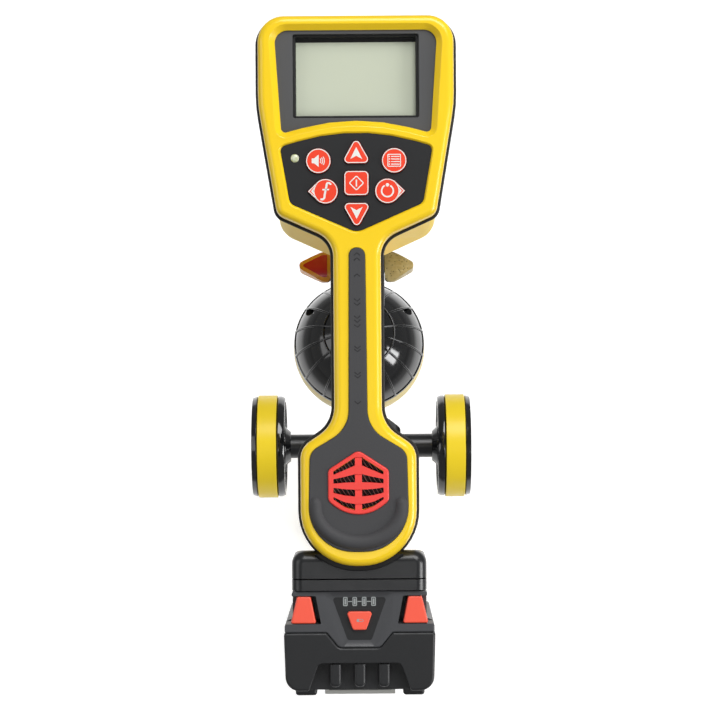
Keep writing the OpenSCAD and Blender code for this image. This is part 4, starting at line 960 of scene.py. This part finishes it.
def gauge():
    """Charge gauge: grained panel, four printed cells joined by dashes, and its button with its sign."""
    floor_z = PACK_TOP - GAUGE_SINK
    panel = plate(wedge(*GAUGE_BRIM, 3.1, 4.6), floor_z - 0.6, floor_z + 0.1)
    settle(panel, "gauge_face", UNIT, battery_nylon, "battery_pack", ["gauge_panel"])
    z = (floor_z + 0.05, floor_z + 0.16)
    marks = []
    for x in (-7.8, -2.6, 2.6, 7.8):
        cell = pill(x, CELLS_AT, 1.25, 2.5, 0.6)
        marks.append(line_print(cell, 0.55, *z))
        marks.append(plate(outline(pill(x, CELLS_AT, 0.4, 1.6, 0.2)), *z))
    for x in (-5.2, 0, 5.2):
        marks.append(ribbon([(x - 1.1, CELLS_AT), (x + 1.1, CELLS_AT)], 0.45, *z))
    settle(join(marks), "gauge_print", UNIT, grey_ink, "battery_pack")
    levels = [(0.0, floor_z - 3), (0.0, PACK_TOP - 0.3), (0.2, PACK_TOP + 0.2), (0.7, PACK_TOP + 0.4)]
    button = stack([(wedge(DOCK_REAR - 11.8, 7.3, 3.7, 10.2, inset), z) for inset, z in levels])
    settle(button, "gauge_push_button", UNIT, coral_abs, "gauge_push", ["gauge_button"], 50)
    mark_z = (PACK_TOP + 0.38, PACK_TOP + 0.44)
    mark = [line_print(pill(0.2, SIGN_AT, 1.9, 0.75, 0.7), 0.25, *mark_z),
            plate(outline(pill(-0.9, SIGN_AT, 0.6, 0.45, 0.2)), *mark_z)]
    settle(join(mark), "gauge_button_print", UNIT, grey_ink, "gauge_push")


dock()
upper_case()
lower_case()
releases()
gauge()


# Mast: sizes in millimetres

MAST_R, SOCKET_R, COLLAR_H = 12, 14.5, 6
TUBE_GAP = 0.05
MAST_BORE = MAST_R + TUBE_GAP
HANDLE_Z, HANDLE_BACK = 730, 60


def mast_level(w):
    """Height at which the mast's axis crosses a level of the top unit."""
    return HANDLE_Z + (w + HANDLE_BACK * math.sin(TILT)) / math.cos(TILT)


def along_x(piece, turn=1):
    """Turns a piece made along z so that it runs along x."""
    return moved(piece, Matrix.Rotation(turn * math.pi / 2, 4, "Y"))


def pipe(bore, radius, low, high, edge):
    """A tube with rounded outer ends."""
    tube = turned([(bore, low), (radius, low), (radius, high), (bore, high)], 96)
    return soften(tube, edge, 3, 60)


def socket():
    """The case's socket for the mast, and the nut under it."""
    low = mast_level(-HEAD_DEPTH - 6)
    neck = pipe(MAST_BORE, SOCKET_R, low, mast_level(-HANDLE_DEPTH), 0.6)
    settle(neck, "case_mast_socket", MAST, yellow_abs, "handset")
    nut = pipe(MAST_BORE, SOCKET_R, low - COLLAR_H, low, 0.8)
    settle(nut, "mast_nut", MAST, battery_nylon, "handset", ["mast_collar"])


# Antenna balls

BALL_R, BALL_WALL, BALL_SPLIT = 41.5, 2.5, 8
# Ribs: radius, how far out they run, their count, and how far from the axis the one across them lies
RIB_R, RIB_OUT, RIB_COUNT, RING_TURN = 0.75, BALL_R + 0.15, 16, math.radians(32)
# Screw pockets: their places, and the radius and level of their sleeves and of themselves above the split
POCKET_AT, POCKET_TURNS = BALL_R - 6, (30, 150, 270)
SLEEVE_R, SLEEVE_TOP, POCKET_R, POCKET_FLOOR = 4.4, 14, 2.8, 9
UPPER_BALL_Z, LOWER_BALL_Z, FOOT_R, FOOT_T = 539, 42, 14, 4


def sphere_arc(radius, low, high, count):
    """Points (radius, height) on a sphere between two heights."""
    first, last = math.asin(low / radius), math.asin(high / radius)
    turns = [first + (last - first) * k / count for k in range(count + 1)]
    return [(radius * math.cos(a), radius * math.sin(a)) for a in turns]


def bore_height(radius):
    """Height at which a sphere meets the mast's bore."""
    return math.sqrt(radius ** 2 - MAST_BORE ** 2)


def ball_cap():
    """Black upper half: ribs along and across, a brim and three screw pockets."""
    inner = BALL_R - BALL_WALL
    shell = turned(sphere_arc(BALL_R, BALL_SPLIT, bore_height(BALL_R), 24)
                   + sphere_arc(inner, BALL_SPLIT, bore_height(inner), 16)[::-1], 128)
    for turn in POCKET_TURNS:
        at = Matrix.Rotation(math.radians(turn), 2) @ Vector((POCKET_AT, 0))
        sleeve = plate(disc_outline(SLEEVE_R, 40, *at), BALL_SPLIT + 0.1, BALL_SPLIT + SLEEVE_TOP)
        bpy.ops.object.select_all(action="DESELECT")
        bpy.ops.mesh.primitive_uv_sphere_add(segments=64, ring_count=32, radius=BALL_R - 0.6)
        combine(sleeve, bpy.context.object, "INTERSECT")
        combine(shell, sleeve, "UNION")
        cut(shell, disc_outline(POCKET_R, 32, *at), BALL_SPLIT + POCKET_FLOOR, BALL_R)
    soften(shell, 0.3, 2, 40)
    edge = math.sqrt(BALL_R ** 2 - BALL_SPLIT ** 2)
    parts = [shell, turned([(edge - 1, BALL_SPLIT), (edge + 0.3, BALL_SPLIT), (edge + 0.4, BALL_SPLIT + 0.3),
                            (edge + 0.2, BALL_SPLIT + 1.8), (edge - 1, BALL_SPLIT + 2.4)], 128)]
    line = [(r, 0, z) for r, z in sphere_arc(RIB_OUT, BALL_SPLIT + 1, bore_height(BALL_R) - 0.5, 20)]
    for k in range(RIB_COUNT):
        rib = tube_along(line, RIB_R, [1] * len(line))
        parts.append(moved(rib, Matrix.Rotation(math.tau * (k + 0.5) / RIB_COUNT, 4, "Z")))
    bpy.ops.object.select_all(action="DESELECT")
    bpy.ops.mesh.primitive_torus_add(major_radius=RIB_OUT * math.sin(RING_TURN), minor_radius=RIB_R,
                                     major_segments=96, minor_segments=10)
    parts.append(moved(bpy.context.object, Matrix.Translation((0, 0, RIB_OUT * math.cos(RING_TURN)))))
    return join(parts)


def ball_base(low):
    """Cream lower half, painted pale as a painted reflection, down to a height."""
    inner = BALL_R - BALL_WALL
    profile = sphere_arc(BALL_R, low, BALL_SPLIT, 32)
    half = turned(profile + sphere_arc(inner, low + 0.1, BALL_SPLIT, 24)[::-1], 128)
    return soften(half, 0.4, 2, 40)


def balls():
    """The antenna ball on the upper mast, and the one at the foot with its wear pad."""
    for name, z, low, body in (("upper", UPPER_BALL_Z, -bore_height(BALL_R - BALL_WALL) - 0.2, "handset"),
                               ("lower", LOWER_BALL_Z, FOOT_T - LOWER_BALL_Z, "lower_section")):
        place = MAST @ Matrix.Translation((0, 0, z))
        settle(ball_cap(), name + "_ball_cap", place, black_abs, body, [name + "_node_cap"], 40)
        settle(ball_base(low), name + "_ball_base", place, cream_abs_painted_pale, body,
               [name + "_node_base"], 40)
    pad = turned([(0, 0), (FOOT_R - 1, 0), (FOOT_R, 1), (FOOT_R, FOOT_T), (0, FOOT_T)], 96)
    settle(pad, "foot_wear_pad", MAST, grip_rubber, "lower_section", ["foot_pad"])


# Side discs and the cross

CROSS_Z, DISC_R, BAND_FROM, BAND_TO, FACE_IN, FACE_OUT = 259, 38.5, 63, 77.2, 57, 81.4
CROSS_R, HUB_R, RIM_R, RIM_IN, DISC_RIBS = 8.9, 14.5, 37.9, 33, 16
# Step in the rim beside the band, and seat under the band
STEP_R, SEAT_R = RIM_R - 1.2, 35


def spokes(first, last, low, high):
    """Radial ribs of a disc's face."""
    made = []
    for k in range(DISC_RIBS):
        spoke = soften(block((first, last), (-0.9, 0.9), (low, high)), 0.5, 2)
        made.append(moved(spoke, Matrix.Rotation(math.tau * k / DISC_RIBS, 4, "Z")))
    return made


def disc(side, name):
    """One side antenna: dished inner face with its hub, yellow band and outer face."""
    place = MAST @ Matrix.Translation((0, 0, CROSS_Z)) @ Matrix.Rotation(side * math.pi / 2, 4, "Y")
    bore = CROSS_R + TUBE_GAP
    inner = turned([(bore, FACE_IN - 4), (11, FACE_IN - 4), (HUB_R, FACE_IN), (HUB_R, FACE_IN + 2.4),
                    (RIM_IN, FACE_IN + 2.4), (RIM_IN + 0.8, FACE_IN), (STEP_R, FACE_IN),
                    (RIM_R, FACE_IN + 2.5), (RIM_R, BAND_FROM - 1), (STEP_R, BAND_FROM - 0.6),
                    (STEP_R, BAND_FROM), (SEAT_R, BAND_FROM), (SEAT_R, FACE_IN + 4.8),
                    (bore, FACE_IN + 4.8)], 96)
    soften(inner, 0.5, 3, 30)
    parts = [inner] + spokes(HUB_R - 1, RIM_IN + 2.5, FACE_IN + 0.5, FACE_IN + 3)
    settle(join(parts), "disc_face_in_" + name, place, black_abs, "lower_section",
           ["disc_inner_" + name], 40)
    outer = turned([(0, BAND_TO - 0.6), (SEAT_R, BAND_TO - 0.6), (SEAT_R, BAND_TO), (STEP_R, BAND_TO),
                    (STEP_R, BAND_TO + 0.5), (RIM_R, BAND_TO + 0.8), (RIM_R - 1, FACE_OUT),
                    (RIM_IN + 0.8, FACE_OUT), (RIM_IN, FACE_OUT - 1.9), (11, FACE_OUT - 1.9),
                    (10, FACE_OUT), (0, FACE_OUT)], 96)
    soften(outer, 0.4, 3, 30)
    parts = [outer] + spokes(10, RIM_IN + 2.5, FACE_OUT - 2.5, FACE_OUT - 0.3)
    settle(join(parts), "disc_face_out_" + name, place, black_abs, "lower_section",
           ["disc_outer_" + name], 40)
    under = SEAT_R + 0.2
    band = turned([(under, BAND_FROM), (DISC_R, BAND_FROM), (DISC_R, BAND_TO), (under, BAND_TO)], 128)
    soften(band, 0.5, 3, 60)
    settle(band, "disc_ring_" + name, place, band_film, "lower_section",
           ["disc_band_" + name], 40)


def upright(piece):
    """Turns a plate made in x and y so that it stands in x and z, with its height along y."""
    return moved(piece, Matrix.Rotation(math.pi / 2, 4, "X"))


def cross():
    """Housing where the cross tube meets the mast: a soft-edged lozenge on a round sleeve."""
    seen_ahead = both_sides([(12, -40, 4), (29.5, -12.5, 5), (29.5, 12.5, 5), (12, 16.5, 2)])
    seen_above = both_sides([(14, -22, 6), (29.5, -10.9, 3), (29.5, 10.9, 3), (14, 22, 6)])
    body = upright(plate(outline(seen_ahead), -40, 40))
    combine(body, plate(outline(seen_above), -60, 60), "INTERSECT")
    soften(body, 1.6, 4, 40)
    combine(body, plate(disc_outline(KNUCKLE_R, 96), -46, 80), "UNION")
    cut(body, disc_outline(MAST_BORE, 64), -60, 100)
    combine(body, along_x(plate(disc_outline(CROSS_R + TUBE_GAP, 64), -60, 60)))
    settle(body, "cross_housing", MAST @ Matrix.Translation((0, 0, CROSS_Z)), battery_nylon,
           "lower_section", ["tee_housing"], 45)


# Fold joint

FOLD_Z, FOLD_OUT, KNUCKLE_R, KNUCKLE_LEN, FOLD_GAP = 395, 26, 16, 46, 0.5
EAR_HALF, EAR_GAP, EAR_T, EAR_R, PIN_R = 7, 0.4, 6, 9, 3
BUTTON_Z, BUTTON_R, BUTTON_OUT, BUTTON_TRAVEL = 421, 6, 24, 3


def ear(first, last):
    """One round ear of the hinge, between two places along x."""
    bore = PIN_R + 0.02
    eye = along_x(turned([(bore, first), (EAR_R, first), (EAR_R, last), (bore, last)], 64))
    return soften(moved(eye, Matrix.Translation((0, FOLD_OUT, FOLD_Z))), 0.6, 3, 60)


def fold_joint():
    """Knuckle on the upper mast, fork on the lower one, and the button that frees them."""
    above, below = FOLD_Z + FOLD_GAP / 2, FOLD_Z - FOLD_GAP / 2
    upper = pipe(MAST_BORE, KNUCKLE_R, above, above + KNUCKLE_LEN, 1.2)
    web = soften(block((-EAR_HALF, EAR_HALF), (13, FOLD_OUT - 4), (above, FOLD_Z + EAR_R)), 0.6, 3)
    bore = BUTTON_R + 0.15
    seat = turned([(bore, MAST_R + 1), (BUTTON_R + 3, MAST_R + 1), (BUTTON_R + 3, BUTTON_OUT - 2),
                   (bore, BUTTON_OUT - 2)], 64)
    to_rear = Matrix.Translation((0, 0, BUTTON_Z)) @ Matrix.Rotation(math.pi / 2, 4, "X")
    parts = [upper, web, ear(-EAR_HALF, EAR_HALF), moved(soften(seat, 0.7, 3, 60), to_rear)]
    settle(join(parts), "fold_upper", MAST, battery_nylon, "handset", ["fold_knuckle"], 45)
    parts = [pipe(MAST_BORE, KNUCKLE_R, below - KNUCKLE_LEN, below, 1.2)]
    for side in (1, -1):
        span = sorted((side * (EAR_HALF + EAR_GAP), side * (EAR_HALF + EAR_GAP + EAR_T)))
        parts.append(ear(*span))
        parts.append(soften(block(span, (8, FOLD_OUT - 4), (FOLD_Z - EAR_R, below)), 0.6, 3))
    settle(join(parts), "fold_lower", MAST, battery_nylon, "lower_section", ["fold_fork"], 45)
    out = BUTTON_OUT - 2 + BUTTON_TRAVEL
    root = KNUCKLE_R + BUTTON_TRAVEL + 0.3
    button = turned([(0, root), (BUTTON_R, root), (BUTTON_R, out - 1), (BUTTON_R - 0.3, out - 0.3),
                     (BUTTON_R - 1, out), (0, out)], 64)
    settle(moved(button, to_rear), "fold_push", MAST, red_abs, "fold_button",
           ["fold_release"], 45)


# Ground markers

MARKER_Z, MARKER_OUT, HOLDER_H, HOLDER_HALF = 658, 18.4, 22, 15.5
MARKER_ROOT, MARKER_T, CROWN_R = 15.8, 8, 16.6
# How far the leaves sit behind their stems
LEAF_BACK = 2
# How far the leaves reach out
LEFT_TIP, RIGHT_TIP = 37.4, 35.2


def leaf(tip, inset, lift):
    """A leaf with crowned faces that reaches out to its tip."""
    corners = [(MARKER_ROOT, -8.6, 2.5), (MARKER_ROOT + 5, -9.2, 6), (tip, 0, 3), (MARKER_ROOT + 5, 9.2, 6),
               (MARKER_ROOT, 8.6, 2.5)]
    blade = plate(outline(corners, inset), -MARKER_T / 2 - lift, MARKER_T / 2 + lift)
    for way in (1, -1):
        log = along_x(plate(disc_outline(CROWN_R, 128), 0, 60))
        off = way * (CROWN_R - MARKER_T / 2 - lift)
        combine(blade, moved(log, Matrix.Translation((0, 0, off))), "INTERSECT")
    return soften(blade, 0.5, 3, 40)


def leaf_stem(y):
    """The bar that carries a leaf in the holder."""
    return block((6, MARKER_ROOT + 4), (y - 4.8, y + 4.8), (-2.8, 2.8))


def markers():
    """Holder on the mast with a two-colour marker on the left and a speckled one on the right."""
    low = MARKER_Z - HOLDER_H / 2
    around = both_sides([(HOLDER_HALF, -11.5, 8), (HOLDER_HALF, 28.4, 4)])
    holder = rounded(around, low, low + HOLDER_H, 1.2, low_edge=1.2)
    cut(holder, disc_outline(MAST_BORE, 64), low - OVER, low + HOLDER_H + OVER)
    settle(holder, "marker_clip", MAST, battery_nylon, "handset", ["marker_holder"], 45)
    right = MAST @ Matrix.Translation((0, MARKER_OUT - LEAF_BACK, MARKER_Z))
    left = right @ Matrix.Rotation(math.pi, 4, "Z")
    gold = join([leaf(RIGHT_TIP, 0, 0), leaf_stem(LEAF_BACK)])
    settle(gold, "marker_gold_leaf", right, speckled_gold(), "right_marker",
           ["marker_right"], 45)
    border = join([leaf(LEFT_TIP, 0, 0), leaf_stem(-LEAF_BACK)])
    settle(border, "marker_red_border", left, amber_abs, "left_marker", ["marker_left"], 45)
    settle(leaf(LEFT_TIP, 2.2, 0.25), "marker_red_leaf", left, marker_red_abs, "left_marker",
           (), 45)


socket()
balls()
disc(1, "right")
disc(-1, "left")
cross()
fold_joint()
markers()


# Finishes of the solids that stay

def drawn_metal(name, colour, roughness):
    """Bare metal whose fine drawing marks vary the gloss."""
    material, tree, shader, place = start(name, {"Metallic": 1.0, "Base Color": rgb(colour)})
    marks = add(tree, "TexNoise", inputs={"Vector": place, "Scale": per_metre(0.8), "Detail": 4})
    gloss = add(tree, "MapRange", inputs={
        "Value": marks.outputs["Fac"], "To Min": roughness - 0.08, "To Max": roughness + 0.08})
    tree.links.new(gloss.outputs["Result"], shader.inputs["Roughness"])
    return material


speaker_mesh = woven_mesh()
# Screws, pins and axles: bright steel with a soft, streaked highlight
steel = drawn_metal("drawn_steel", "#B8BCC0", 0.32)
# Coils: warm copper, a little duller
copper = drawn_metal("wound_copper", "#B87333", 0.35)
# Screws of the balls: near black, with a dull glint
black_steel = drawn_metal("blackened_steel", "#1C1D1F", 0.45)

FINISHES = {
    "yellow_shell": yellow_abs, "seal_black": seal_rubber, "panel_grey": panel_abs,
    "keypad_black": keypad_film, "key_red": key_silicone, "mat_rubber": seal_rubber,
    "board_green": board_laminate, "grip_rubber": grip_rubber, "grille_red": red_abs,
    "mesh_dark": speaker_mesh, "speaker_black": battery_nylon, "steel": steel, "dock_black": satin_abs,
    "battery_dark": battery_nylon, "battery_plate": pale_nylon, "battery_red": coral_abs,
    "gauge_dark": keypad_film, "cell_wrap": cell_film, "mast_black": satin_abs,
    "node_black": black_abs, "node_cream": cream_abs_painted_pale, "coil_copper": copper, "band_yellow": band_film,
    "marker_red": red_abs, "marker_gold": cream_abs_painted_pale, "foot_rubber": grip_rubber,
    "display_glass": pale_nylon, "lcd_grey": pale_nylon, "led_clear": white_ink,
}

for part in record["subparts"]:
    solid = nodes[part["node"]]
    solid.data.materials.clear()
    solid.data.materials.append(FINISHES[part["material_slot"]])
nodes["node_screws"].data.materials[0] = black_steel


# Floor, light and closing lines

FLOOR_HALF = 8.0
# Painted pool of light round the object: where the floor's colour and glow start to fade, where they have
# faded, and what is left there
POOL_FULL, POOL_END, POOL_DIM = 0.8, 1.5, 0.3
FLOOR_LEVEL, FLOOR_GLOW = 0.92, 0.35
WALLS, CEILING = 0.28, 0.2
# Name, place in the top unit's frame in millimetres, width and height in metres, power in watts
LAMPS = [
    ("key_light", (600, 1800, 1800), 1.8, 1.4, 50),
    ("side_light", (2000, -500, 1000), 0.8, 1.1, 28),
    ("fill_light", (-2200, 200, 1400), 1.6, 1.6, 12),
    ("top_light", (0, -375, 2400), 0.75, 0.2, 1.6),
]


def studio_white(name, level, glow):
    """Pale matt floor that the camera and reflections see as white, and that keeps the object's shadow; its
    colour and glow fade outwards as a painted pool of light.
    """
    material, tree, shader, place = start(name, {"Roughness": 0.9, "Emission Color": rgb("#FFFFFF")})
    rays = add(tree, "LightPath")
    seen = add(tree, "Math", {"operation": "ADD"}, {
        0: rays.outputs["Is Camera Ray"], 1: rays.outputs["Is Glossy Ray"]})
    shown = add(tree, "Math", {"operation": "ADD"}, {
        0: seen.outputs["Value"], 1: rays.outputs["Is Transmission Ray"]})
    reach = add(tree, "VectorMath", {"operation": "LENGTH"}, {0: place})
    # Painted pool of light: the colour and the glow fall off with distance from the object
    near = add(tree, "MapRange", {"interpolation_type": "SMOOTHSTEP"}, {
        "Value": reach.outputs["Value"], "From Min": POOL_FULL, "From Max": POOL_END,
        "To Min": 1.0, "To Max": POOL_DIM})
    glowing = add(tree, "Math", {"operation": "MULTIPLY"}, {0: near.outputs["Result"], 1: glow})
    lift = add(tree, "Math", {"operation": "MULTIPLY"}, {
        0: shown.outputs["Value"], 1: glowing.outputs["Value"]})
    tree.links.new(lift.outputs["Value"], shader.inputs["Emission Strength"])
    grain = add(tree, "TexNoise", inputs={"Vector": place, "Scale": per_metre(300)})
    tone = add(tree, "MapRange", inputs={
        "Value": grain.outputs["Fac"], "To Min": level - 0.01, "To Max": level + 0.01})
    shade = add(tree, "Math", {"operation": "MULTIPLY"}, {
        0: tone.outputs["Result"], 1: near.outputs["Result"]})
    colour = add(tree, "CombineColor", inputs={
        "Red": shade.outputs["Value"], "Green": shade.outputs["Value"], "Blue": shade.outputs["Value"]})
    tree.links.new(colour.outputs["Color"], shader.inputs["Base Color"])
    return material


def floor():
    """A wide floor at the foot's level."""
    bpy.ops.object.select_all(action="DESELECT")
    bpy.ops.mesh.primitive_plane_add(size=2 * FLOOR_HALF)
    ground = bpy.context.object
    ground.name = "studio_floor"
    ground.data.materials.append(studio_white("white_floor_painted_pool", FLOOR_LEVEL, FLOOR_GLOW))


def soft_box(name, at, target, width, height, watts):
    """A rectangular studio lamp that faces a point."""
    lamp = bpy.data.lights.new(name, "AREA")
    lamp.shape = "RECTANGLE"
    lamp.size = width
    lamp.size_y = height
    lamp.energy = watts
    holder = bpy.data.objects.new(name, lamp)
    bpy.context.collection.objects.link(holder)
    holder.location = at
    holder.rotation_euler = (Vector(target) - Vector(at)).to_track_quat("-Z", "Y").to_euler()


def studio_world(walls, ceiling):
    """Plain grey surroundings, a little dimmer overhead."""
    world = bpy.data.worlds.new("studio")
    bpy.context.scene.world = world
    world.use_nodes = True
    tree = world.node_tree
    sky = tree.nodes["Background"]
    sky.inputs["Color"].default_value = (1, 1, 1, 1)
    way = add(tree, "TexCoord").outputs["Generated"]
    height = add(tree, "SeparateXYZ", inputs={"Vector": way})
    level = add(tree, "MapRange", inputs={
        "Value": height.outputs["Z"], "To Min": walls, "To Max": ceiling})
    tree.links.new(level.outputs["Result"], sky.inputs["Strength"])


floor()
studio_world(WALLS, CEILING)
for title, spot, wide, tall, power in LAMPS:
    soft_box(title, UNIT @ Vector(spot), UNIT.translation, wide, tall, power)

bpy.context.scene.view_settings.view_transform = "Standard"
